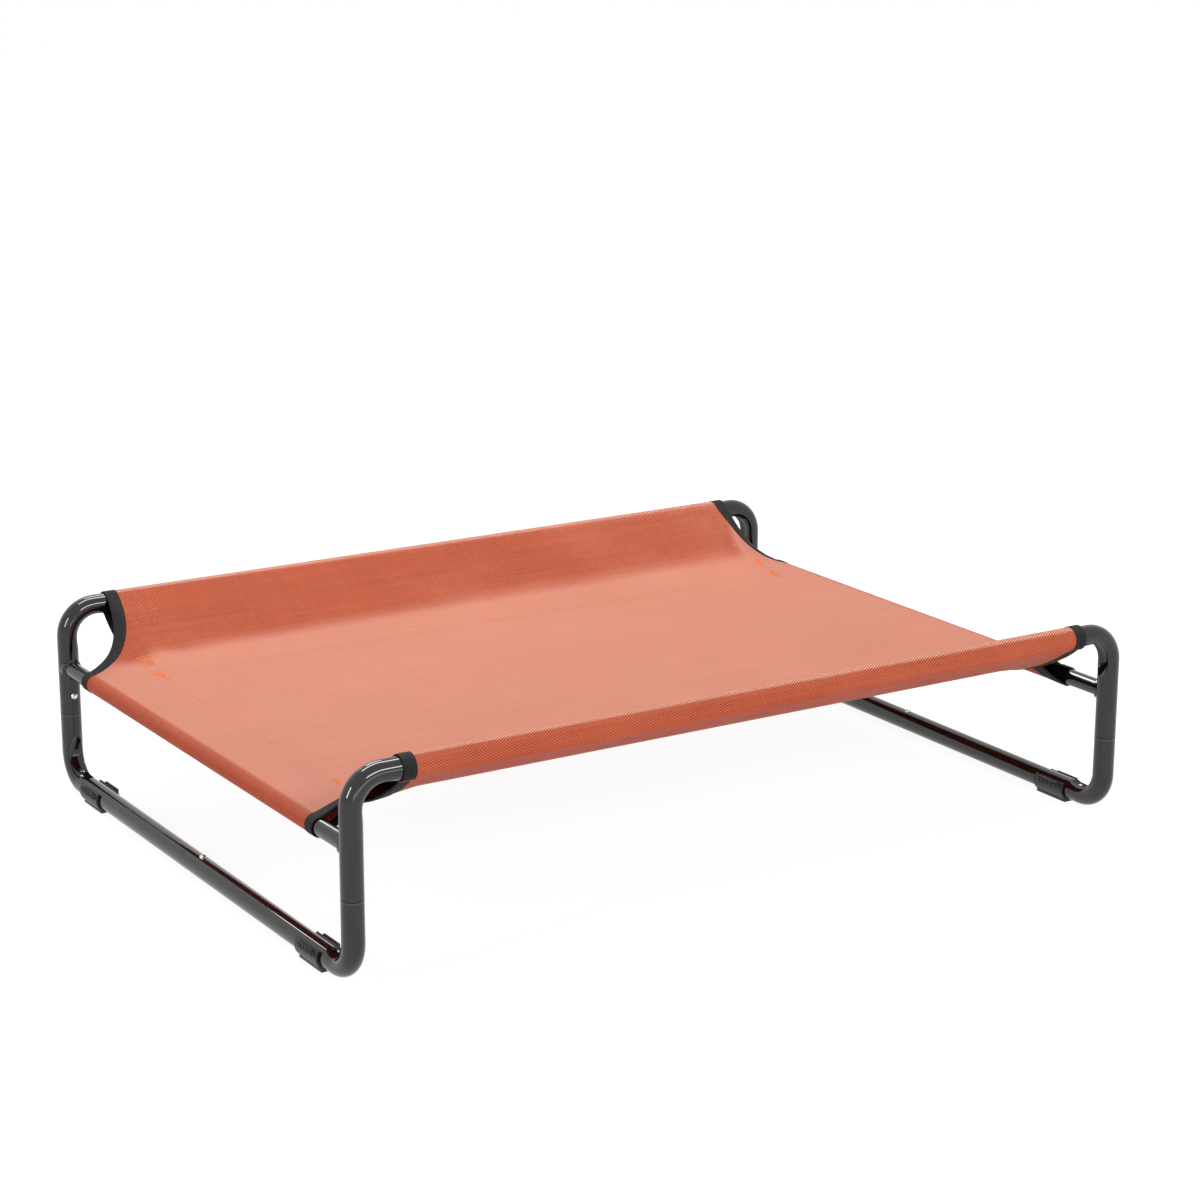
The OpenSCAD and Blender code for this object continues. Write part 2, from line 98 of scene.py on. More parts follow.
SIDE_SLOPE = math.radians(35)
FOLD = 0.081  # from a rail's axis in to the fold of its raised side
FOLD_SOFTNESS = 0.004
END_EASE = 0.066  # from a crossbar's axis in to a raised side's full height
CUT_POWER = 2.6  # how square the corner cut-outs are
BED_SAG = 0.0012

HEM_RISE = 0.003  # from the bed up to the long hems
HEM_LAP = 0.004  # cloth beyond a hem's seam
HEM_SOFTNESS = 0.006
SIDE_BAND, END_BAND, BAND_INNER = 0.011, 0.009, 0.005  # how far a hem's band reaches from its seam
BAND_EDGE = 0.002
BAND_HEIGHT, GROOVE_DEPTH, GROOVE_W = 0.00035, 0.0004, 0.0012

SIDE_SLACK, SLACK_REACH = 0.012, 0.148  # sag under a raised side, and how far in it reaches
LEFT_SLACK, RIGHT_SLACK, SLACK_END = 0.006, 0.003, 0.056  # what the raised sides' ends add to it
END_SLACK = 0.004

TAPE_W = 0.0125
TAPE_T = 0.0006
TAPE_OFF = 0.0008  # from the cloth's middle to the tape's
TAPE_TUCK = 0.0002  # the same where the tape is pinched between a tube and the cloth
TAPE_ROWS = (0, 0.0015, 0.004, 0.0065, 0.0085, 0.010, 0.0112, TAPE_W)
TAPE_SEAM, TAPE_GROOVE, TAPE_DIMPLE = 0.010, 0.0102, 0.00022
TAPE_EDGE, TAPE_TURN = 0.0007, 0.0025  # radius of its folded edge, and the tape that the fold takes

# One rail sleeve was sewn a little short of its corner.
MOUTHS = {("front", "left"): RAIL_MOUTH + 0.005}

# Ends of the two tacks at each corner, as (v, u), and the gap between a tack's two rows.
TACKS = (((0.0450, 0.081), (0.0525, 0.101)), ((0.0480, 0.117), (0.0535, 0.138)))
TACK_GAP = 0.0035
SIDE_SEAM_END, END_SEAM_END = 0.052, 0.083  # where the hem seams stop short of the tubes' axes

SIDE_HEM_Z = BED_Z + HEM_RISE - LAYER
UNDER_SLOPE = math.atan((RAIL_Z - SIDE_HEM_Z) / SIDE_HEM) - math.asin(
    RAIL_WRAP / math.hypot(SIDE_HEM, RAIL_Z - SIDE_HEM_Z)
)
END_HEM_Z = BED_Z - LAYER
END_SLOPE = math.asin(BAR_WRAP / math.hypot(END_HEM, END_HEM_Z - CROSSBAR_Z)) + math.atan(
    (END_HEM_Z - CROSSBAR_Z) / END_HEM
)
RAIL_LEAVE = RAIL_WRAP * math.sin(SIDE_SLOPE)
FOLD_Z = RAIL_Z + RAIL_WRAP / math.cos(SIDE_SLOPE) - math.tan(SIDE_SLOPE) * FOLD


# ---- Shape of the sling ----
# u runs in from a rail's axis and v in from a crossbar's axis.

def soft_max(a, b, width):
    return np.maximum(a, b) + width * np.log1p(np.exp(-np.abs(a - b) / width))


def ease(t):
    c = np.clip(t, 0, 1)
    return c * c * (3 - 2 * c)


def rise(t):
    c = np.clip(t, 0, 1)
    return c + c * c - c ** 3


def bump(t, width):
    return np.exp(-((t / width) ** 2))


def under_z(u):
    return soft_max(SIDE_HEM_Z + math.tan(UNDER_SLOPE) * (SIDE_HEM - u), BED_Z - LAYER, HEM_SOFTNESS)


def side_z(u):
    """The raised side drops straight from its rail to a soft fold, then runs gently to its seam."""
    line = FOLD_Z + math.tan(SIDE_SLOPE) * (FOLD - u)
    gentle = SIDE_HEM_Z + LAYER + (FOLD_Z - SIDE_HEM_Z - LAYER) / (SIDE_HEM - FOLD) * (SIDE_HEM - u)
    return soft_max(line, soft_max(gentle, BED_Z, HEM_SOFTNESS), FOLD_SOFTNESS)


def ripple(x, y):
    """Slight unevenness of a stretched cloth, in metres."""
    u, v = LEG_Y - np.abs(y), LEG_X - np.abs(x)
    long_wave = np.sin(9.1 * x + 2.3 * np.sin(5.2 * y)) * np.sin(11.0 * y + 0.7)
    side_pull = np.sin(34 * x + 22 * u + 1.1) * bump(u - 0.05, 0.035)
    corner_pull = np.sin(95 * (v - 0.5 * u)) * bump(np.hypot(u - 0.075, v - 0.07), 0.05)
    held = ease((u - 0.012) / 0.03) * ease(v / 0.03)
    return held * (0.0006 * long_wave + 0.0004 * side_pull + 0.0005 * corner_pull)


def hem_relief(u, v):
    """The double edge of each hem shows through the sling as a low band with a sewn groove."""
    side_band = ease((u - SIDE_HEM + SIDE_BAND) / BAND_EDGE) * ease((SIDE_HEM + BAND_INNER - u) / BAND_EDGE)
    end_band = ease((v - END_HEM + END_BAND) / BAND_EDGE) * ease((END_HEM + BAND_INNER - v) / BAND_EDGE)
    end_band = end_band * ease((u - CROSSBAR_MOUTH) / 0.02)
    side_band = side_band * ease((v - RAIL_MOUTH) / 0.01)
    groove = bump(u - SIDE_HEM, GROOVE_W) * side_band + bump(v - END_HEM, GROOVE_W) * end_band
    return BAND_HEIGHT * np.maximum(side_band, end_band) - GROOVE_DEPTH * groove


def sling_top(x, y):
    """Height of the sling's middle surface over a point of the bed."""
    u, v = LEG_Y - np.abs(y), LEG_X - np.abs(x)
    flatten = RAIL_MOUTH + (END_EASE - RAIL_MOUTH) * ease(u / CROSSBAR_MOUTH)
    plain = BED_Z + (side_z(u) - BED_Z) * rise(v / flatten)
    sag = BED_SAG * ease((u - SIDE_HEM) / 0.2) * ease(v / 0.3)
    return plain + ripple(x, y) + hem_relief(u, v) - sag


def side_flap(x, y):
    """Height of the under layer of a raised side, which hangs slack and more so towards its ends."""
    u, v = LEG_Y - np.abs(y), LEG_X - np.abs(x)
    at_end = 1 - ease((v - RAIL_MOUTH) / SLACK_END)
    depth = SIDE_SLACK + np.where(x < 0, LEFT_SLACK, RIGHT_SLACK) * at_end
    swell = np.sin(math.pi * np.clip(u / SLACK_REACH, 0, 1)) ** 0.75
    slack = depth * swell * ease((SIDE_HEM - u) / 0.03)
    layers = 2 - ease((v - END_HEM - HEM_LAP) / 0.01)
    return np.minimum(under_z(u) - slack, sling_top(x, y) - LAYER * layers)


def end_seam_z(y):
    """Height at which the under layer of an end is sewn to the sling."""
    return sling_top(np.full_like(y, LEG_X - END_HEM), y) - LAYER


def end_slope(y):
    """Angle at which that layer leaves the crossbar for its seam; it steepens at the corners."""
    up = end_seam_z(y) - CROSSBAR_Z
    return np.arcsin(BAR_WRAP / np.hypot(END_HEM, up)) + np.arctan(up / END_HEM)


def end_flap(x, y):
    """Height of the under layer along a crossbar, which passes above the slack side layers."""
    u, v = LEG_Y - np.abs(y), LEG_X - np.abs(x)
    line = end_seam_z(y) - np.tan(end_slope(y)) * (END_HEM - v)
    slack = END_SLACK * np.sin(math.pi * np.clip(v / END_HEM, 0, 1)) ** 2
    low = line - slack * (1 - ease((u - CROSSBAR_MOUTH) / 0.06))
    crossing = (v > RAIL_MOUTH - 0.002) & (u < SIDE_HEM + HEM_LAP)
    low = np.where(crossing, np.maximum(low, side_flap(x, y) + LAYER), low)
    return np.minimum(low, sling_top(x, y) - LAYER)


def cut_point(angle, mouth):
    """A point (v, u) of the corner cut-out's edge; the angle runs from the rail to the crossbar."""
    return (
        mouth * np.cos(angle) ** (2 / CUT_POWER),
        CROSSBAR_MOUTH * np.sin(angle) ** (2 / CUT_POWER),
    )


def cut_v(u, mouth):
    """How far from the crossbar's axis the cut-out's edge lies, u in from the rail's."""
    share = min(max(u / CROSSBAR_MOUTH, 0), 1)
    return mouth * (1 - share ** CUT_POWER) ** (1 / CUT_POWER) if share < 1 else 0.0


def mouth_of(side, end):
    return MOUTHS.get((side, end), RAIL_MOUTH)


def spread(*stops):
    """Numbers from stop to stop, where stops are value, count, value, count ... value."""
    out = [stops[0]]
    for k in range(1, len(stops), 2):
        count, goal = stops[k], stops[k + 1]
        begin = out[-1]
        out += [begin + (goal - begin) * i / count for i in range(1, count + 1)]
    return out


# ---- Mesh helpers ----

def new_piece(name, verts, faces, uvs=None, weld=0.0):
    """A smooth-shaded mesh object; uvs holds one flat-cloth coordinate for each vertex."""
    mesh = bpy.data.meshes.new(name)
    mesh.from_pydata([tuple(p) for p in verts], [], faces)
    if uvs is not None:
        layer = mesh.uv_layers.new(name="Flat cloth")
        flat = np.array([uvs[loop.vertex_index] for loop in mesh.loops], np.float32)
        layer.data.foreach_set("uv", flat.ravel())
    if weld:
        bm = bmesh.new()
        bm.from_mesh(mesh)
        bmesh.ops.remove_doubles(bm, verts=bm.verts, dist=weld)
        bm.to_mesh(mesh)
        bm.free()
    mesh.shade_smooth()
    piece = bpy.data.objects.new(name, mesh)
    bpy.context.scene.collection.objects.link(piece)
    return piece


class Patches:
    """Gathers grids of points into one sheet."""

    def __init__(self):
        self.verts, self.faces, self.flat = [], [], []

    def add(self, points, flat, flip=False):
        base, (rows, cols) = len(self.verts), points.shape[:2]
        self.verts += [tuple(p) for p in points.reshape(-1, 3)]
        self.flat += [tuple(p) for p in flat.reshape(-1, 2)]
        for i in range(rows - 1):
            for j in range(cols - 1):
                a = base + i * cols + j
                quad = (a, a + 1, a + cols + 1, a + cols)
                self.faces.append(quad[::-1] if flip else quad)


def thicken(piece, thickness):
    wall = piece.modifiers.new("Thickness", "SOLIDIFY")
    wall.thickness = thickness
    wall.offset = 0
    wall.use_even_offset = True
    return piece


def paint(piece, *materials):
    piece.data.materials.clear()
    for material in materials:
        piece.data.materials.append(material)
    return piece


# ---- The sling ----

def build_sling():
    """One woven sheet: the bed, its raised sides, and the flaps rolled round rails and crossbars."""
    flap_us = spread(SIDE_HEM + HEM_LAP, 6, SIDE_HEM - 0.012, 18, -RAIL_WRAP * math.sin(UNDER_SLOPE))
    rolls = spread(-math.pi + UNDER_SLOPE, 22, SIDE_SLOPE)
    cut_start = math.asin((RAIL_LEAVE / CROSSBAR_MOUTH) ** (CUT_POWER / 2))
    cut_us = [cut_point(a, 1)[1] for a in spread(cut_start, 22, math.pi / 2)]
    top_us = cut_us[1:] + spread(CROSSBAR_MOUTH, 14, 0.1, 22, 0.126, 8, 0.146, 15, LEG_Y)[1:]

    # Each station of the long strip is (side, kind, amount); the front half is mirrored for the back.
    front = [("flap", u) for u in flap_us[:-1]] + [("roll", a) for a in rolls] + [("top", u) for u in top_us]
    stations = [("front", *s) for s in front] + [("back", *s) for s in front[-2::-1]]

    half = spread(0, 6, 0.01, 20, 0.07, 7, 0.12, 18, LEG_X)
    across = [c / LEG_X for c in half]
    points, edges = [], []
    for side, kind, amount in stations:
        sign = -1 if side == "front" else 1
        u = RAIL_WRAP * math.sin(amount) if kind == "roll" else amount
        y = sign * (LEG_Y - u)
        mouths = [mouth_of(side, "left"), mouth_of(side, "right")]
        edge = [cut_v(u, m) if kind == "top" else cut_v(RAIL_LEAVE, m) for m in mouths]
        left = [-LEG_X + edge[0] + c * (LEG_X - edge[0]) for c in across]
        right = [LEG_X - edge[1] - c * (LEG_X - edge[1]) for c in across[-2::-1]]
        xs = np.array(left + right)
        ys = np.full_like(xs, y)
        if kind == "roll":
            zs = np.full_like(xs, RAIL_Z + RAIL_WRAP * math.cos(amount))
        else:
            zs = sling_top(xs, ys) if kind == "top" else side_flap(xs, ys)
        points.append(np.stack([xs, ys, zs], axis=1))
        edges.append((side, kind, u))
    points = np.array(points)
    centre = points[:, points.shape[1] // 2]
    along = np.concatenate([[0], np.cumsum(np.linalg.norm(np.diff(centre, axis=0), axis=1))])
    along -= along[-1] / 2
    flat = np.stack([points[:, :, 0], np.repeat(along[:, None], points.shape[1], axis=1)], axis=2)
    sheet = Patches()
    sheet.add(points, flat)

    # The end flaps carry on from the rows that reach the crossbars.
    rows = [i for i, (_, kind, u) in enumerate(edges) if kind == "top" and u >= CROSSBAR_MOUTH - 1e-6]
    turns = spread(0, 18, -1)
    flap_vs = spread(BAR_WRAP * math.sin(END_SLOPE), 8, END_HEM - 0.008, 6, END_HEM + HEM_LAP)[1:]
    ys = np.array([points[i, 0, 1] for i in rows])
    whole = math.pi + end_slope(ys)
    for sign in (-1, 1):
        columns = [
            np.stack([
                sign * (LEG_X - BAR_WRAP * np.sin(a * whole)), ys, CROSSBAR_Z + BAR_WRAP * np.cos(a * whole),
            ], axis=1) for a in turns
        ]
        for v in flap_vs:
            xs = np.full_like(ys, sign * (LEG_X - v))
            columns.append(np.stack([xs, ys, end_flap(xs, ys)], axis=1))
        grid = np.stack(columns, axis=1)
        grid[:, 0, 2] = points[rows, 0 if sign < 0 else -1, 2]
        steps = np.linalg.norm(np.diff(grid[len(rows) // 2], axis=0), axis=1)
        out = LEG_X + np.concatenate([[0], np.cumsum(steps)])
        flat_x = np.repeat((sign * out)[None, :], len(rows), axis=0)
        flat_y = np.repeat(along[rows][:, None], grid.shape[1], axis=1)
        sheet.add(grid, np.stack([flat_x, flat_y], axis=2), flip=sign < 0)

    piece = new_piece("sling", sheet.verts, sheet.faces, sheet.flat, weld=1e-5)
    width, length = 2 * float(out[-1]), float(along[-1] - along[0])
    # Measured flat: the sheet's area, and how far from its middle the sleeves' outer faces turn.
    area = 0.0
    for face in piece.data.polygons:
        p = [Vector(piece.data.uv_layers[0].data[k].uv) for k in face.loop_indices]
        area += abs(sum(a.cross(b) for a, b in zip(p, p[1:] + p[:1]))) / 2
    on_rail = [i for i, station in enumerate(stations) if station[1] == "roll"]
    crest = float(along[on_rail[len(rolls) // 2]])
    return thicken(piece, CLOTH_T), (width, length), area, abs(crest)


# ---- Tape round the corner cut-outs ----

def tape_bed(side, end):
    """The strip of cloth under a corner's tape, as a grid of points from its edge inwards.

    With it come its normals, the grid's widths, how close the tape's back leg lies, the length along
    the edge, a function that moves points to this corner, and whether the corner is mirrored.
    """
    sx, sy = (-1 if end == "left" else 1), (-1 if side == "front" else 1)
    mouth = mouth_of(side, end)
    widths = np.array(TAPE_ROWS)

    def place(v, u, z):
        height = z(sx * (LEG_X - v), sy * (LEG_Y - u)) if callable(z) else z
        return np.stack([v, u, height], axis=-1)

    def loosened(share):
        return TAPE_TUCK + (TAPE_OFF - TAPE_TUCK) * float(ease(share))

    rows, tuck = [], []
    for u in spread(0.088, 26, -RAIL_WRAP * math.sin(UNDER_SLOPE))[:-1]:
        rows.append(place(mouth + widths, np.full_like(widths, u), side_flap))
        tuck.append(loosened(u / 0.02))
    for a in spread(-math.pi + UNDER_SLOPE, 24, SIDE_SLOPE)[:-1]:
        u = np.full_like(widths, RAIL_WRAP * math.sin(a))
        rows.append(place(mouth + widths, u, np.full_like(widths, RAIL_Z + RAIL_WRAP * math.cos(a))))
        tuck.append(TAPE_TUCK)
    start = math.asin((RAIL_LEAVE / CROSSBAR_MOUTH) ** (CUT_POWER / 2))
    steps = 40
    for k, a in enumerate(spread(start, steps, math.pi / 2)[:-1]):
        here, near = np.array(cut_point(a, mouth)), np.array(cut_point(a - 0.01, mouth))
        run = (here - near) / np.linalg.norm(here - near)
        v, u = here[0] + run[1] * widths, here[1] - run[0] * widths
        rows.append(place(v, u, sling_top))
        tuck.append(loosened(min(k, steps - 1 - k) / 5))
    whole = math.pi + end_slope(LEG_Y - CROSSBAR_MOUTH - widths)
    for a in spread(0, 22, -1):
        v, z = BAR_WRAP * np.sin(a * whole), CROSSBAR_Z + BAR_WRAP * np.cos(a * whole)
        rows.append(place(v, CROSSBAR_MOUTH + widths, z))
        tuck.append(TAPE_TUCK)
    for v in spread(0.0085, 14, END_HEM + HEM_LAP):
        rows.append(place(np.full_like(widths, v), CROSSBAR_MOUTH + widths, end_flap))
        tuck.append(loosened(v / 0.02))
    bed = np.array(rows)
    normal = np.cross(np.gradient(bed, axis=1), np.gradient(bed, axis=0))
    normal /= np.linalg.norm(normal, axis=2, keepdims=True)
    along = np.concatenate([[0], np.cumsum(np.linalg.norm(np.diff(bed[:, 3], axis=0), axis=1))])
    mirror = np.array([-sx, -sy, 1.0])
    shift = np.array([sx * LEG_X, sy * LEG_Y, 0.0])

    def world(p):
        return p * mirror + shift

    return bed, normal, widths, np.array(tuck), along, world, sx * sy < 0


def build_tape(side, end):
    """Folded binding tape: one leg on the sling's face, a rounded edge, and one leg behind."""
    bed, normal, widths, tuck, along, world, turned = tape_bed(side, end)
    inward = bed[:, 1] - bed[:, 0]
    inward /= np.linalg.norm(inward, axis=1, keepdims=True)
    rings = []
    wave = 0.00008 * np.sin(along * 420) + 0.00006 * np.sin(along * 173 + 1)
    for j in range(len(widths) - 1, -1, -1):
        dimple = TAPE_DIMPLE * bump(widths[j] - TAPE_GROOVE, GROOVE_W)
        rings.append((bed[:, j] + normal[:, j] * (TAPE_OFF - dimple + wave)[:, None], widths[j]))
    for turn in (30, 60, 90, 120, 150):
        a = math.radians(turn)
        lift = np.where(a < math.pi / 2, TAPE_OFF, tuck) * math.cos(a)
        edge = bed[:, 0] + normal[:, 0] * lift[:, None] - inward * TAPE_EDGE * math.sin(a)
        rings.append((edge, -TAPE_EDGE * a))
    for j in range(len(widths)):
        rings.append((bed[:, j] - normal[:, j] * tuck[:, None], -TAPE_TURN - widths[j]))
    points = world(np.stack([r[0] for r in rings], axis=1))
    flat = np.stack([
        np.repeat(along[:, None], len(rings), axis=1),
        np.repeat(np.array([r[1] for r in rings])[None, :], len(along), axis=0),
    ], axis=2)
    strip = Patches()
    strip.add(points, flat, flip=turned)
    tape = new_piece(f"{side}_{end}_tape", strip.verts, strip.faces, strip.flat)
    return thicken(tape, TAPE_T)


# ---- Stitching, made with Geometry Nodes ----

def stitch_tree():
    """Repeats one arched stitch along seam lines, its arch turned towards the 'outward' attribute."""
    tree = bpy.data.node_groups.new("Sewn seam", "GeometryNodeTree")
    face = tree.interface
    face.new_socket(name="Seam lines", in_out="INPUT", socket_type="NodeSocketGeometry")
    for name, kind, value in (
        ("Stitch pitch", "NodeSocketFloat", 0.004),
        ("Stitch length", "NodeSocketFloat", 0.003),
        ("Thread radius", "NodeSocketFloat", 0.0003),
        ("Turn", "NodeSocketFloat", 0.0),
        ("Sway", "NodeSocketFloat", 0.04),
        ("Seed", "NodeSocketInt", 3),
        ("Thread", "NodeSocketMaterial", None),
    ):
        socket = face.new_socket(name=name, in_out="INPUT", socket_type=kind)
        if value is not None:
            socket.default_value = value
    face.new_socket(name="Stitches", in_out="OUTPUT", socket_type="NodeSocketGeometry")

    def node(kind, **settings):
        made = tree.nodes.new(kind)
        for key, value in settings.items():
            setattr(made, key, value)
        return made

    def link(start, out, end, into):
        tree.links.new(start.outputs[out], end.inputs[into])

    def scaled(start, out, factor):
        made = node("ShaderNodeMath", operation="MULTIPLY")
        made.inputs[1].default_value = factor
        link(start, out, made, 0)
        return made

    given, result = node("NodeGroupInput"), node("NodeGroupOutput")
    curve = node("GeometryNodeMeshToCurve")
    points = node("GeometryNodeCurveToPoints", mode="LENGTH")
    link(given, "Seam lines", curve, "Mesh")
    link(curve, "Curve", points, "Curve")
    link(given, "Stitch pitch", points, "Length")

    outward = node("GeometryNodeInputNamedAttribute", data_type="FLOAT_VECTOR")
    outward.inputs["Name"].default_value = "outward"
    along = node("FunctionNodeAlignRotationToVector", axis="X")
    upright = node("FunctionNodeAlignRotationToVector", axis="Z", pivot_axis="X")
    link(points, "Tangent", along, "Vector")
    link(along, "Rotation", upright, "Rotation")
    link(outward, "Attribute", upright, "Vector")

    minus = scaled(given, "Sway", -1)
    sway = node("FunctionNodeRandomValue", data_type="FLOAT")
    floats = [s for s in sway.inputs if s.type == "VALUE" and s.enabled]
    tree.links.new(minus.outputs[0], floats[0])
    tree.links.new(given.outputs["Sway"], floats[1])
    link(given, "Seed", sway, "Seed")
    angle = node("ShaderNodeMath", operation="ADD")
    tree.links.new([s for s in sway.outputs if s.type == "VALUE" and s.enabled][0], angle.inputs[0])
    link(given, "Turn", angle, 1)
    twist = node("FunctionNodeAxisAngleToRotation")
    link(angle, 0, twist, "Angle")
    turned = node("FunctionNodeRotateRotation", rotation_space="LOCAL")
    link(upright, "Rotation", turned, 0)
    link(twist, "Rotation", turned, 1)

    half = scaled(given, "Stitch length", 0.5)
    back = scaled(half, 0, -1)
    sunk = scaled(given, "Thread radius", -0.9)
    proud = scaled(given, "Thread radius", 1.8)
    arch = node("GeometryNodeCurveQuadraticBezier")
    arch.inputs["Resolution"].default_value = 4
    for name, x_from, z_from in (("Start", back, sunk), ("Middle", None, proud), ("End", half, sunk)):
        spot = node("ShaderNodeCombineXYZ")
        if x_from is not None:
            link(x_from, 0, spot, "X")
        link(z_from, 0, spot, "Z")
        link(spot, "Vector", arch, name)
    ring = node("GeometryNodeCurvePrimitiveCircle")
    ring.inputs["Resolution"].default_value = 6
    link(given, "Thread radius", ring, "Radius")
    thread = node("GeometryNodeCurveToMesh")
    link(arch, "Curve", thread, "Curve")
    link(ring, "Curve", thread, "Profile Curve")
    thread.inputs["Fill Caps"].default_value = True

    placed = node("GeometryNodeInstanceOnPoints")
    link(points, "Points", placed, "Points")
    link(thread, "Mesh", placed, "Instance")
    link(turned, "Rotation", placed, "Rotation")
    real = node("GeometryNodeRealizeInstances")
    dressed = node("GeometryNodeSetMaterial")
    smooth = node("GeometryNodeSetShadeSmooth")
    link(placed, "Instances", real, "Geometry")
    link(real, "Geometry", smooth, "Geometry")
    link(smooth, "Geometry", dressed, "Geometry")
    link(given, "Thread", dressed, "Material")
    link(dressed, "Geometry", result, "Stitches")
    return tree


def sew(name, tree, lines, thread, **sizes):
    """Stitches along lines, each a pair of (points, outward directions), as one plain mesh."""
    verts, edges, outward = [], [], []
    for points, normals in lines:
        base = len(verts)
        verts += [tuple(p) for p in points]
        outward += [tuple(n) for n in normals]
        edges += [(base + i, base + i + 1) for i in range(len(points) - 1)]
    mesh = bpy.data.meshes.new(name + "_lines")
    mesh.from_pydata(verts, edges, [])
    mesh.attributes.new("outward", "FLOAT_VECTOR", "POINT").data.foreach_set(
        "vector", np.array(outward, np.float32).ravel()
    )
    holder = bpy.data.objects.new(name + "_lines", mesh)
    bpy.context.scene.collection.objects.link(holder)
    seam = holder.modifiers.new("Sewn seam", "NODES")
    seam.node_group = tree
    sockets = {s.name: s.identifier for s in tree.interface.items_tree if s.in_out == "INPUT"}
    for label, value in {"Thread": thread, **sizes}.items():
        seam[sockets[label.replace("_", " ")]] = value
    made = bpy.data.meshes.new_from_object(holder.evaluated_get(bpy.context.evaluated_depsgraph_get()))
    made.name = name
    holder.modifiers.remove(seam)
    bpy.data.objects.remove(holder)
    piece = bpy.data.objects.new(name, made)
    bpy.context.scene.collection.objects.link(piece)
    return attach(piece, BODY)


def line_on(height, xs, ys, up, lift):
    """Points on one face of the cloth and the directions square to it."""
    e = 0.0008
    zs = height(xs, ys)
    dx = (height(xs + e, ys) - height(xs - e, ys)) / (2 * e)
    dy = (height(xs, ys + e) - height(xs, ys - e)) / (2 * e)
    normal = np.stack([-dx, -dy, np.ones_like(zs)], axis=1) * up
    normal /= np.linalg.norm(normal, axis=1, keepdims=True)
    return np.stack([xs, ys, zs], axis=1) + normal * lift, normal


def side_hem_lines():
    """The long hem seams, on the bed's face and again on the flaps below."""
    out = []
    for sy in (-1, 1):
        xs = np.linspace(-LEG_X + SIDE_SEAM_END, LEG_X - SIDE_SEAM_END, 180)
        ys = np.full_like(xs, sy * (LEG_Y - SIDE_HEM))
        out += [line_on(sling_top, xs, ys, 1, CLOTH_T / 2), line_on(side_flap, xs, ys, -1, CLOTH_T / 2)]
    return out


def end_hem_lines():
    """The hem seams across the ends, above and below in the same way."""
    out = []
    for sx in (-1, 1):
        ys = np.linspace(-LEG_Y + END_SEAM_END, LEG_Y - END_SEAM_END, 140)
        xs = np.full_like(ys, sx * (LEG_X - END_HEM))
        out += [line_on(sling_top, xs, ys, 1, CLOTH_T / 2), line_on(end_flap, xs, ys, -1, CLOTH_T / 2)]
    return out


def tack_lines():
    """Short dense rows that lock the ends of the hem seams at each corner."""
    out = []
    for sx in (-1, 1):
        for sy in (-1, 1):
            for begin, finish in TACKS:
                for shift in (0, TACK_GAP):
                    v = np.linspace(begin[0], finish[0], 12) + shift
                    u = np.linspace(begin[1], finish[1], 12)
                    out.append(line_on(sling_top, sx * (LEG_X - v), sy * (LEG_Y - u), 1, CLOTH_T / 2))
    return out


def tape_lines():
    """One seam along the face of each corner's tape."""
    out = []
    for side in ("front", "back"):
        for end in ("left", "right"):
            bed, normal, widths, _, _, world, _ = tape_bed(side, end)
            j = int(np.argmin(np.abs(widths - TAPE_SEAM)))
            lift = TAPE_OFF + TAPE_T / 2 - 0.0002
            spot, square = bed[2:-2, j], normal[2:-2, j]
            flip = np.array([1.0 if end == "left" else -1.0, 1.0 if side == "front" else -1.0, 1.0])
            out.append((world(spot + square * lift), square * flip))
    return out


# ---- Shader groups shared by the finishes ----

class Wiring:
    """Small helper to add and link shader nodes in a group or a material."""

    def __init__(self, tree):
        self.tree = tree

    def node(self, kind, **settings):
        made = self.tree.nodes.new(kind)
        for key, value in settings.items():
            setattr(made, key, value)
        return made

    def put(self, value, socket):
        if hasattr(value, "is_output"):
            self.tree.links.new(value, socket)
        else:
            socket.default_value = value

    def math(self, operation, *values, clamp=False):
        made = self.node("ShaderNodeMath", operation=operation, use_clamp=clamp)
        for k, value in enumerate(values):
            self.put(value, made.inputs[k])
        return made.outputs[0]

    def split(self, vector):
        made = self.node("ShaderNodeSeparateXYZ")
        self.put(vector, made.inputs[0])
        return made.outputs

    def noise(self, where, scale, detail=2.0, roughness=0.5):
        made = self.node("ShaderNodeTexNoise")
        self.put(where, made.inputs["Vector"])
        self.put(scale, made.inputs["Scale"])
        made.inputs["Detail"].default_value = detail
        made.inputs["Roughness"].default_value = roughness
        return made.outputs["Fac"]

    def blend(self, share, first, second):
        made = self.node("ShaderNodeMix", data_type="RGBA")
        self.put(share, made.inputs[0])
        self.put(first, made.inputs[6])
        self.put(second, made.inputs[7])
        return made.outputs[2]

    def ramp(self, value, low, high):
        made = self.node("ShaderNodeMapRange", interpolation_type="SMOOTHSTEP")
        self.put(value, made.inputs["Value"])
        self.put(low, made.inputs["From Min"])
        self.put(high, made.inputs["From Max"])
        return made.outputs["Result"]


def shader_group(name, takes, gives):
    """A node group with its sockets: takes holds (label, kind, default) and gives (label, kind)."""
    tree = bpy.data.node_groups.new(name, "ShaderNodeTree")
    for label, kind, value in takes:
        socket = tree.interface.new_socket(name=label, in_out="INPUT", socket_type="NodeSocket" + kind)
        if value is not None:
            socket.default_value = value
    for label, kind in gives:
        tree.interface.new_socket(name=label, in_out="OUTPUT", socket_type="NodeSocket" + kind)
    w = Wiring(tree)
    return w, w.node("NodeGroupInput").outputs, w.node("NodeGroupOutput").inputs


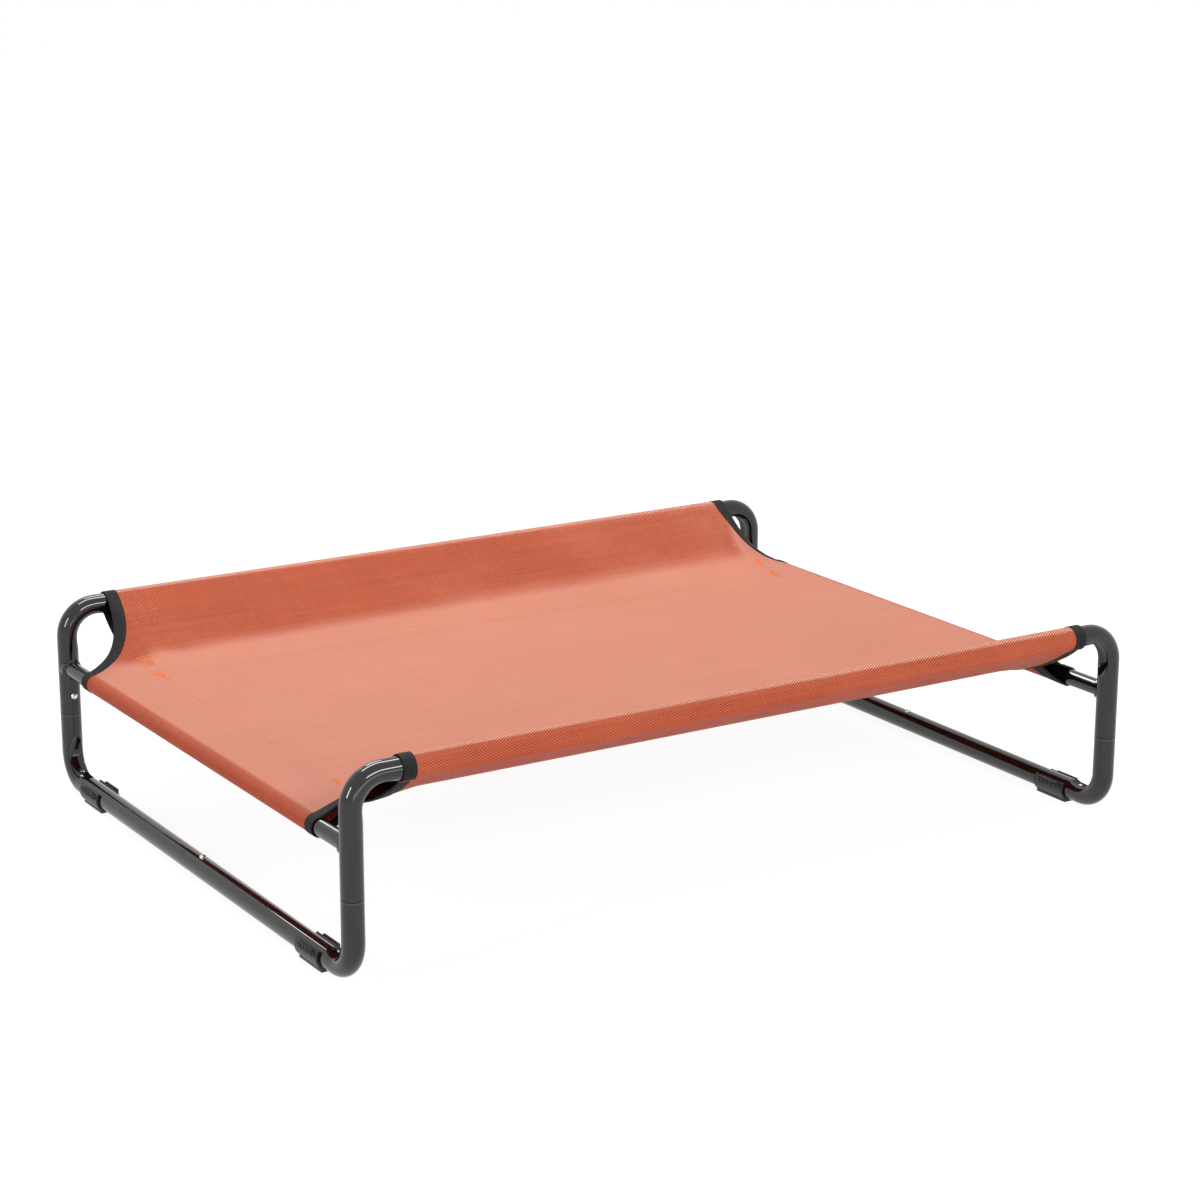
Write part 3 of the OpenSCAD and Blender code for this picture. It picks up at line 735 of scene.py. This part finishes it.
def twill_group():
    """Two-over, two-under twill on flat cloth coordinates. Lean is 1 or -1, the way the ribs run."""
    w, given, out = shader_group(
        "Twill weave",
        [("Flat", "Vector", None), ("Yarn pitch", "Float", 0.0011), ("Lean", "Float", 1.0),
         ("Steepness", "Float", 1.0)],
        [("Height", "Float"), ("Rib", "Float"), ("Cross rib", "Float"), ("Gap", "Float"),
         ("Yarn shade", "Float")],
    )
    parts = w.split(given["Flat"])
    s = w.math("DIVIDE", w.math("MULTIPLY", parts[0], given["Lean"]), given["Yarn pitch"])
    t = w.math("DIVIDE", parts[1], w.math("MULTIPLY", given["Yarn pitch"], given["Steepness"]))
    column, row = w.math("FLOOR", s), w.math("FLOOR", t)
    order = w.math("FLOORED_MODULO", w.math("SUBTRACT", column, row), 4.0)
    warp_up = w.math("LESS_THAN", order, 1.5)
    across = w.math("SINE", w.math("MULTIPLY", w.math("FRACT", s), math.pi))
    down = w.math("SINE", w.math("MULTIPLY", w.math("FRACT", t), math.pi))
    warp = w.math("MULTIPLY", w.math("SQRT", across), warp_up)
    weft = w.math("MULTIPLY", w.math("SQRT", down), w.math("SUBTRACT", 1.0, warp_up))
    w.put(w.math("ADD", warp, weft), out["Height"])
    for mixed, socket in ((w.math("SUBTRACT", s, t), "Rib"), (w.math("ADD", s, t), "Cross rib")):
        turn = w.math("MULTIPLY", mixed, math.pi / 2)
        w.put(w.math("MULTIPLY_ADD", w.math("COSINE", turn), 0.5, 0.5), out[socket])
    w.put(w.math("MULTIPLY", w.math("LESS_THAN", across, 0.42), w.math("LESS_THAN", down, 0.42)), out["Gap"])
    pair = w.node("ShaderNodeCombineXYZ")
    w.put(w.math("MULTIPLY", column, warp_up), pair.inputs[0])
    w.put(w.math("MULTIPLY", row, w.math("SUBTRACT", 1.0, warp_up)), pair.inputs[1])
    w.put(warp_up, pair.inputs[2])
    random = w.node("ShaderNodeTexWhiteNoise", noise_dimensions="3D")
    w.put(pair.outputs[0], random.inputs["Vector"])
    w.put(random.outputs["Value"], out["Yarn shade"])
    return w.tree


def dust_group():
    """Faint dust and handling marks: a soft mask that gathers on faces that look up."""
    w, given, out = shader_group(
        "Settled dust",
        [("Where", "Vector", None), ("Scale", "Float", 14.0), ("Amount", "Float", 0.3)],
        [("Mask", "Float"), ("Smear", "Float")],
    )
    soft = w.noise(given["Where"], given["Scale"], 4.0, 0.6)
    fine = w.noise(given["Where"], w.math("MULTIPLY", given["Scale"], 14.0), 2.0, 0.6)
    up = w.split(w.node("ShaderNodeNewGeometry").outputs["Normal"])[2]
    top = w.ramp(up, 0.2, 0.95)
    cloud = w.ramp(w.math("MULTIPLY_ADD", fine, 0.35, soft), 0.55, 0.95)
    w.put(w.math("MULTIPLY", w.math("MULTIPLY", cloud, top), given["Amount"], clamp=True), out["Mask"])
    w.put(w.ramp(soft, 0.35, 0.75), out["Smear"])
    return w.tree


def grain_group():
    """Fine surface grain for enamel, plastic and thread: height and a slow shade."""
    w, given, out = shader_group(
        "Fine grain",
        [("Where", "Vector", None), ("Grain", "Float", 900.0), ("Waviness", "Float", 60.0)],
        [("Height", "Float"), ("Wave", "Float"), ("Shade", "Float")],
    )
    w.put(w.noise(given["Where"], given["Grain"], 3.0, 0.6), out["Height"])
    w.put(w.noise(given["Where"], given["Waviness"], 1.0, 0.4), out["Wave"])
    w.put(w.noise(given["Where"], 9.0, 3.0, 0.5), out["Shade"])
    return w.tree


GROUPS = {"twill": twill_group(), "dust": dust_group(), "grain": grain_group()}


def srgb(red, green, blue):
    """A colour from the usual 0 to 255 values, as linear light."""
    out = []
    for part in (red, green, blue):
        c = part / 255
        out.append(c / 12.92 if c <= 0.04045 else ((c + 0.055) / 1.055) ** 2.4)
    return (*out, 1.0)


def new_material(name):
    """A material, its wiring helper, its Principled shader and the object's own coordinates."""
    material = bpy.data.materials.new(name)
    material.use_nodes = True
    w = Wiring(material.node_tree)
    shader = next(n for n in material.node_tree.nodes if n.type == "BSDF_PRINCIPLED")
    return material, w, shader, w.node("ShaderNodeTexCoord").outputs["Object"]


def use_group(w, key, **values):
    made = w.node("ShaderNodeGroup")
    made.node_tree = GROUPS[key]
    for label, value in values.items():
        w.put(value, made.inputs[label.replace("_", " ")])
    return made.outputs


def relief(w, shader, height, distance, strength=1.0, under=None):
    """Fine relief on a finish, laid over an earlier one if given."""
    made = w.node("ShaderNodeBump")
    made.inputs["Strength"].default_value = strength
    made.inputs["Distance"].default_value = distance
    w.put(height, made.inputs["Height"])
    if under is not None:
        w.put(under, made.inputs["Normal"])
    w.put(made.outputs["Normal"], shader.inputs["Normal"])
    return made.outputs["Normal"]


CLOTH_PITCH, CLOTH_STEEPNESS, STRIPE_PITCH = 0.00098, 0.66, 0.0021
TAPE_PITCH = 0.0005
GLIDE_RING_PITCH = 0.0022
GLIDE_RING_FROM, GLIDE_RING_FULL = 0.014, 0.018  # heights at which a glide's rings begin


def woven_sling_cloth(crest):
    """Coated salmon yarn in a fine twill; the sleeves' outer faces lean the other way. Its colour carries a
    painted sheen where it is seen low, and painted light and shade on its underside.
    """
    material, w, shader, here = new_material("Woven sling cloth")
    flat = w.node("ShaderNodeUVMap", uv_map="Flat cloth").outputs["UV"]
    parts = w.split(flat)
    outer = w.math("GREATER_THAN", w.math("ABSOLUTE", parts[1]), crest)
    lean = w.math("MULTIPLY_ADD", outer, -2.0, 1.0)
    weave = use_group(w, "twill", Flat=flat, Yarn_pitch=CLOTH_PITCH, Lean=lean, Steepness=CLOTH_STEEPNESS)
    # Over the crossbars the cloth is drawn open along its cross yarns and shows fine stripes.
    over_bar = w.ramp(w.math("ABSOLUTE", parts[0]), LEG_X - 0.003, LEG_X + 0.003)
    stripe = w.math("COSINE", w.math("MULTIPLY", parts[0], 2 * math.pi / STRIPE_PITCH))
    stripe = w.math("MULTIPLY_ADD", stripe, 0.5, 0.5)
    cloud = w.noise(flat, 7.0, 4.0, 0.55)
    streak = w.node("ShaderNodeMapping")
    w.put(flat, streak.inputs["Vector"])
    streak.inputs["Scale"].default_value = (4.0, 260.0, 1.0)
    thick_yarns = w.noise(streak.outputs[0], 1.0, 2.0, 0.6)
    dots = w.math("MULTIPLY_ADD", weave["Rib"], 0.62, w.math("MULTIPLY", weave["Cross rib"], 0.38))
    dots = w.ramp(dots, 0.24, 0.80)
    ridges = w.math("MULTIPLY_ADD", stripe, 0.85, w.math("MULTIPLY", dots, 0.15))
    dots = w.math("MULTIPLY_ADD", over_bar, w.math("SUBTRACT", ridges, dots), dots)
    tone = w.math("MULTIPLY_ADD", dots, 0.60, w.math("MULTIPLY", weave["Height"], 0.14))
    tone = w.math("MULTIPLY_ADD", weave["Yarn shade"], 0.12, tone)
    tone = w.math("MULTIPLY_ADD", thick_yarns, 0.24, w.math("SUBTRACT", tone, 0.045))
    base = w.blend(tone, srgb(52, 7, 2), srgb(220, 106, 70))
    base = w.blend(w.ramp(cloud, 0.35, 0.75), base, w.blend(0.10, base, srgb(222, 126, 96)))
    base = w.blend(w.math("MULTIPLY", weave["Gap"], 0.55), base, srgb(92, 30, 18))
    # Painted sheen: where the cloth is seen low along its face, and more where it looks up, its colour is
    # blended towards a pale salmon, standing in for the glint of its coated yarns; less over the crossbars.
    sheen_facing = w.node("ShaderNodeLayerWeight")
    sheen_facing.inputs["Blend"].default_value = 0.5
    low = w.math("MULTIPLY", w.ramp(sheen_facing.outputs["Facing"], 0.30, 0.50), 0.28)
    low = w.math("MULTIPLY", low, w.math("MULTIPLY_ADD", over_bar, -0.85, 1.0))
    up = w.split(w.node("ShaderNodeNewGeometry").outputs["Normal"])[2]
    low = w.math("MULTIPLY", low, w.ramp(up, 0.1, 0.6))
    # Painted light and shade: faces that look down are blended towards a deeper, more saturated red,
    # standing in for the light that comes through the cloth on its shaded underside. The stretch over the
    # crossbars is a deeper red as well.
    under = w.math("MULTIPLY", w.ramp(up, -0.1, -0.9), 0.30)
    underside_shade_and_bar_red = w.math("MULTIPLY_ADD", over_bar, w.math("SUBTRACT", 0.45, under), under)
    base = w.blend(underside_shade_and_bar_red, base, srgb(172, 58, 28))
    # Over the rails that painted sheen is broken up into fine dots.
    rolled = w.ramp(w.math("ABSOLUTE", parts[1]), crest - 0.030, crest - 0.022)
    sheen_dots = w.math("MULTIPLY_ADD", dots, 3.6, -0.7)
    sheen_dot_share = w.math("MULTIPLY_ADD", rolled, w.math("SUBTRACT", sheen_dots, 1.0), 1.0)
    low = w.math("MULTIPLY", low, sheen_dot_share, clamp=True)
    # Here the painted sheen is laid over the cloth's colour.
    base = w.blend(low, base, srgb(255, 196, 172))
    dust = use_group(w, "dust", Where=here, Scale=9.0, Amount=0.06)
    base = w.blend(dust["Mask"], base, srgb(226, 176, 156))
    w.put(base, shader.inputs["Base Color"])
    rough = w.math("MULTIPLY_ADD", weave["Height"], -0.10, 0.72)
    w.put(w.math("MULTIPLY_ADD", dust["Mask"], 0.2, rough), shader.inputs["Roughness"])
    shader.inputs["Specular IOR Level"].default_value = 0.15
    shader.inputs["Sheen Weight"].default_value = 0.06
    shader.inputs["Sheen Roughness"].default_value = 0.35
    shader.inputs["Sheen Tint"].default_value = srgb(255, 236, 230)
    height = w.math("MULTIPLY_ADD", dots, 0.6, w.math("MULTIPLY", weave["Height"], 0.4))
    relief(w, shader, height, 0.00030, 0.7)
    return material


def woven_binding_tape():
    """Matt black twill tape."""
    material, w, shader, here = new_material("Woven binding tape")
    flat = w.node("ShaderNodeUVMap", uv_map="Flat cloth").outputs["UV"]
    weave = use_group(w, "twill", Flat=flat, Yarn_pitch=TAPE_PITCH, Lean=1.0)
    grain = use_group(w, "grain", Where=here, Grain=1500.0, Waviness=110.0)
    tone = w.math("MULTIPLY_ADD", weave["Height"], 0.5, w.math("MULTIPLY", weave["Rib"], 0.3))
    base = w.blend(w.math("MULTIPLY_ADD", grain["Height"], 0.2, tone), srgb(6, 6, 7), srgb(21, 20, 22))
    dust = use_group(w, "dust", Where=here, Scale=40.0, Amount=0.12)
    w.put(w.blend(dust["Mask"], base, srgb(70, 66, 64)), shader.inputs["Base Color"])
    w.put(w.math("MULTIPLY_ADD", weave["Height"], -0.1, 0.86), shader.inputs["Roughness"])
    shader.inputs["Specular IOR Level"].default_value = 0.3
    height = w.math("MULTIPLY_ADD", weave["Rib"], 0.4, weave["Height"])
    relief(w, shader, height, 0.00018, 0.8)
    return material


def sewing_thread(name, dark, light, rough):
    """Twisted sewing thread."""
    material, w, shader, here = new_material(name)
    plies = w.node("ShaderNodeTexWave", wave_type="BANDS", bands_direction="DIAGONAL")
    w.put(here, plies.inputs["Vector"])
    plies.inputs["Scale"].default_value = 420.0
    plies.inputs["Distortion"].default_value = 1.5
    grain = use_group(w, "grain", Where=here, Grain=2600.0, Waviness=300.0)
    tone = w.math("MULTIPLY_ADD", plies.outputs["Fac"], 0.6, w.math("MULTIPLY", grain["Wave"], 0.4))
    w.put(w.blend(tone, dark, light), shader.inputs["Base Color"])
    w.put(w.math("MULTIPLY_ADD", grain["Height"], 0.15, rough), shader.inputs["Roughness"])
    relief(w, shader, plies.outputs["Fac"], 0.00012, 0.7)
    return material


def gloss_black_enamel():
    """Baked gloss black on the steel tubes, with a faint orange-peel and a little dust on top."""
    material, w, shader, here = new_material("Gloss black enamel")
    grain = use_group(w, "grain", Where=here, Grain=700.0, Waviness=190.0)
    dust = use_group(w, "dust", Where=here, Scale=22.0, Amount=0.05)
    base = w.blend(grain["Shade"], srgb(10, 9, 10), srgb(17, 15, 16))
    # The legs' joints show as a dark line, with a painted highlight just below it: a lighter band where the
    # lower tube's edge would catch the light.
    above = w.math("SUBTRACT", w.split(here)[2], LEG_JOINT_Z)
    line = w.math("MULTIPLY", w.ramp(above, -0.0010, -0.0004), w.ramp(above, 0.0010, 0.0004))
    joint_highlight = w.math("MULTIPLY", w.ramp(above, -0.0024, -0.0018), w.ramp(above, -0.0008, -0.0014))
    base = w.blend(joint_highlight, base, srgb(62, 60, 62))
    base = w.blend(line, base, srgb(1, 1, 1))
    w.put(w.blend(dust["Mask"], base, srgb(70, 66, 64)), shader.inputs["Base Color"])
    rough = w.math("MULTIPLY_ADD", dust["Smear"], 0.03, 0.035)
    rough = w.math("MULTIPLY_ADD", dust["Mask"], 0.12, rough)
    w.put(w.math("MULTIPLY_ADD", grain["Height"], 0.012, rough), shader.inputs["Roughness"])
    shader.inputs["Specular IOR Level"].default_value = 0.6
    height = w.math("MULTIPLY_ADD", grain["Height"], 0.12, grain["Wave"])
    relief(w, shader, height, 0.00003, 0.15)
    return material


def moulded_glide_plastic():
    """Matt black moulded plastic with a fine eroded grain."""
    material, w, shader, here = new_material("Moulded glide plastic")
    grain = use_group(w, "grain", Where=here, Grain=1700.0, Waviness=240.0)
    dust = use_group(w, "dust", Where=here, Scale=30.0, Amount=0.18)
    base = w.blend(grain["Shade"], srgb(12, 12, 13), srgb(23, 22, 23))
    w.put(w.blend(dust["Mask"], base, srgb(98, 94, 90)), shader.inputs["Base Color"])
    w.put(w.math("MULTIPLY_ADD", grain["Height"], 0.2, 0.32), shader.inputs["Roughness"])
    fine = relief(w, shader, w.math("MULTIPLY_ADD", grain["Wave"], 0.3, grain["Height"]), 0.00015, 0.5)
    parts = w.split(here)
    rings = w.math("SINE", w.math("MULTIPLY", parts[1], 2 * math.pi / GLIDE_RING_PITCH))
    rings = w.math("MULTIPLY", rings, w.ramp(parts[2], GLIDE_RING_FROM, GLIDE_RING_FULL))
    relief(w, shader, rings, 0.0005, 0.8, under=fine)
    return material


def bright_steel(name, dark, light, rough, brush):
    """Plated or tempered steel with fine scratches along one way."""
    material, w, shader, here = new_material(name)
    lines = w.node("ShaderNodeMapping")
    w.put(here, lines.inputs["Vector"])
    lines.inputs["Scale"].default_value = brush
    marks = w.noise(lines.outputs[0], 1.0, 3.0, 0.6)
    grain = use_group(w, "grain", Where=here, Grain=2400.0, Waviness=260.0)
    w.put(w.blend(w.math("MULTIPLY_ADD", marks, 0.6, w.math("MULTIPLY", grain["Wave"], 0.4)), dark, light),
          shader.inputs["Base Color"])
    shader.inputs["Metallic"].default_value = 1.0
    w.put(w.math("MULTIPLY_ADD", marks, 0.18, rough), shader.inputs["Roughness"])
    relief(w, shader, w.math("MULTIPLY_ADD", grain["Height"], 0.3, marks), 0.00006, 0.4)
    return material


# ---- Building and dressing ----

sling, cut_size, cut_area, crest = build_sling()
cloth = woven_sling_cloth(crest)
tape_cloth = woven_binding_tape()
enamel = gloss_black_enamel()
plastic = moulded_glide_plastic()
button_steel = bright_steel("Bright button steel", srgb(196, 196, 198), srgb(240, 240, 242), 0.08,
                            (300.0, 2600.0, 2600.0))
spring_steel = bright_steel("Tempered spring steel", srgb(96, 98, 104), srgb(158, 160, 166), 0.3,
                            (2200.0, 260.0, 2200.0))
orange_thread = sewing_thread("Orange sewing thread", srgb(196, 80, 16), srgb(246, 140, 52), 0.5)
black_thread = sewing_thread("Black sewing thread", srgb(9, 9, 10), srgb(44, 44, 48), 0.6)

for name, part in frame["nodes"].items():
    if name.endswith("_glide"):
        finish = plastic
    elif name.endswith("_snap_button"):
        finish = button_steel
    elif name.endswith("_spring"):
        finish = spring_steel
    else:
        finish = enamel
    for place in part.material_slots:
        place.material = finish

paint(sling, cloth)
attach(sling, BODY)
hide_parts("sling_panel", "front_sleeve", "back_sleeve", "left_sleeve", "right_sleeve")

for side in ("front", "back"):
    for end in ("left", "right"):
        tape = paint(build_tape(side, end), tape_cloth)
        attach(tape, BODY)
        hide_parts(f"{side}_{end}_binding")

seam_tree = stitch_tree()
sewn = [
    sew("side_hem_stitching", seam_tree, side_hem_lines(), orange_thread,
        Stitch_pitch=0.0046, Stitch_length=0.0030, Thread_radius=0.00042, Seed=5),
    sew("end_hem_stitching", seam_tree, end_hem_lines(), orange_thread,
        Stitch_pitch=0.0064, Stitch_length=0.0040, Thread_radius=0.00062, Seed=6),
    sew("corner_tacks", seam_tree, tack_lines(), orange_thread,
        Stitch_pitch=0.0015, Stitch_length=0.0027, Thread_radius=0.00040, Turn=0.9, Sway=0.25, Seed=9),
    sew("tape_stitching", seam_tree, tape_lines(), black_thread,
        Stitch_pitch=0.0034, Stitch_length=0.0027, Thread_radius=0.00025, Seed=7),
]


# ---- Studio ----

FLOOR_REACH = 9
NEAR_FLOOR, FAR_FLOOR = 0.9, 2.4  # from the bed's middle, over which the floor turns fully white
EVEN_LIGHT, FRONT_LIGHT = 0.10, 1.10

EYE, AIM, ROLL = (-1.5660, -2.5186, 1.0398), (0.4425, 0.6655, 0.0025), math.radians(0.11)
LENS, SENSOR_W = 87.88, 36

# Each lamp is its name, place, aim, size and watts.
LAMPS = (
    ("key_softbox", (0.15, 0.44, 2.1), (0.15, 0.0, 0.12), (2.3, 0.42), 34.5),
    ("back_softbox", (0.0, 2.1, 1.55), (0.0, 0.0, 0.15), (1.4, 0.12), 4),
    ("right_softbox", (0.11, 1.25, 1.66), (0.44, -0.31, 0.14), (0.9, 0.2), 8),
    ("left_softbox", (-2.5, -0.6, 1.1), (0.0, 0.0, 0.15), (0.4, 0.9), 17),
    ("front_softbox", (0.25, -2.6, 1.6), (0.0, 0.0, 0.15), (1.8, 0.36), 33),
    ("low_fill", (0.1, -1.5, 0.25), (0.1, -0.3, 0.15), (2.2, 0.25), 3.5),
)


def background_share(w):
    """1 for the rays that show the white background: direct, through glass or mirrored."""
    path = w.node("ShaderNodeLightPath").outputs
    seen = w.math("ADD", path["Is Camera Ray"], path["Is Transmission Ray"], clamp=True)
    return w.math("ADD", seen, path["Is Glossy Ray"], clamp=True)


def build_floor():
    far = FLOOR_REACH
    piece = new_piece("studio_floor", [(-far, -far, 0), (far, -far, 0), (far, far, 0), (-far, far, 0)],
                      [(0, 1, 2, 3)])
    material = bpy.data.materials.new("Studio floor")
    material.use_nodes = True
    tree = material.node_tree
    tree.nodes.clear()
    w = Wiring(tree)
    # As background the floor is near white and keeps the bed's shadow.
    shade = w.node("ShaderNodeBsdfDiffuse")
    shade.inputs["Color"].default_value = (0.16, 0.16, 0.16, 1)
    glow = w.node("ShaderNodeEmission")
    # Far from the bed the floor runs into the white background.
    away = w.node("ShaderNodeVectorMath", operation="LENGTH")
    w.put(w.node("ShaderNodeTexCoord").outputs["Object"], away.inputs[0])
    fade = w.ramp(away.outputs["Value"], NEAR_FLOOR, FAR_FLOOR)
    w.put(w.math("MULTIPLY_ADD", fade, 0.09, 0.93), glow.inputs["Strength"])
    both = w.node("ShaderNodeAddShader")
    w.put(shade.outputs[0], both.inputs[0])
    w.put(glow.outputs[0], both.inputs[1])
    # The bed's underside is lit by what a plain white floor sends back.
    white = w.node("ShaderNodeBsdfDiffuse")
    white.inputs["Color"].default_value = (0.97, 0.97, 0.97, 1)
    pick = w.node("ShaderNodeMixShader")
    w.put(background_share(w), pick.inputs[0])
    w.put(white.outputs[0], pick.inputs[1])
    w.put(both.outputs[0], pick.inputs[2])
    w.put(pick.outputs[0], w.node("ShaderNodeOutputMaterial").inputs["Surface"])
    piece.data.materials.append(material)


def build_world():
    world = bpy.data.worlds.new("Studio")
    world.use_nodes = True
    world.node_tree.nodes.clear()
    w = Wiring(world.node_tree)
    way = w.split(w.node("ShaderNodeTexCoord").outputs["Generated"])
    # Plain light comes evenly from all round and more from the side the bed is seen from.
    front = w.math("MULTIPLY", w.ramp(way[1], 0.0, -0.9), w.ramp(way[2], 0.7, 0.1))
    plain = w.math("MULTIPLY_ADD", front, FRONT_LIGHT, EVEN_LIGHT)
    seen = background_share(w)
    sky = w.node("ShaderNodeBackground")
    sky.inputs["Color"].default_value = (1, 1, 1, 1)
    unseen = w.math("SUBTRACT", 1.0, seen)
    w.put(w.math("ADD", w.math("MULTIPLY", plain, unseen), seen), sky.inputs["Strength"])
    w.put(sky.outputs[0], w.node("ShaderNodeOutputWorld").inputs["Surface"])
    bpy.context.scene.world = world


def area_light(name, place, aim, size, power):
    lamp = bpy.data.lights.new(name, "AREA")
    lamp.shape = "RECTANGLE"
    lamp.size, lamp.size_y = size
    lamp.energy = power
    holder = bpy.data.objects.new(name, lamp)
    holder.location = place
    holder.rotation_euler = (Vector(aim) - Vector(place)).to_track_quat("-Z", "Y").to_euler()
    bpy.context.scene.collection.objects.link(holder)


def build_camera():
    eye = Vector(EYE)
    forward = (Vector(AIM) - eye).normalized()
    right = forward.cross(Vector((0, 0, 1))).normalized()
    up = right.cross(forward)
    tilted_right = right * math.cos(ROLL) + up * math.sin(ROLL)
    tilted_up = up * math.cos(ROLL) - right * math.sin(ROLL)
    lens = bpy.data.cameras.new("camera")
    lens.sensor_width = SENSOR_W
    lens.lens = LENS
    lens.clip_end = 50
    camera = bpy.data.objects.new("camera", lens)
    turn = Matrix((tilted_right, tilted_up, -forward)).transposed()
    camera.matrix_world = Matrix.Translation(eye) @ turn.to_4x4()
    bpy.context.scene.collection.objects.link(camera)
    bpy.context.scene.camera = camera


build_floor()
build_world()
for lamp in LAMPS:
    area_light(*lamp)
build_camera()
bpy.context.scene.view_settings.view_transform = "Standard"
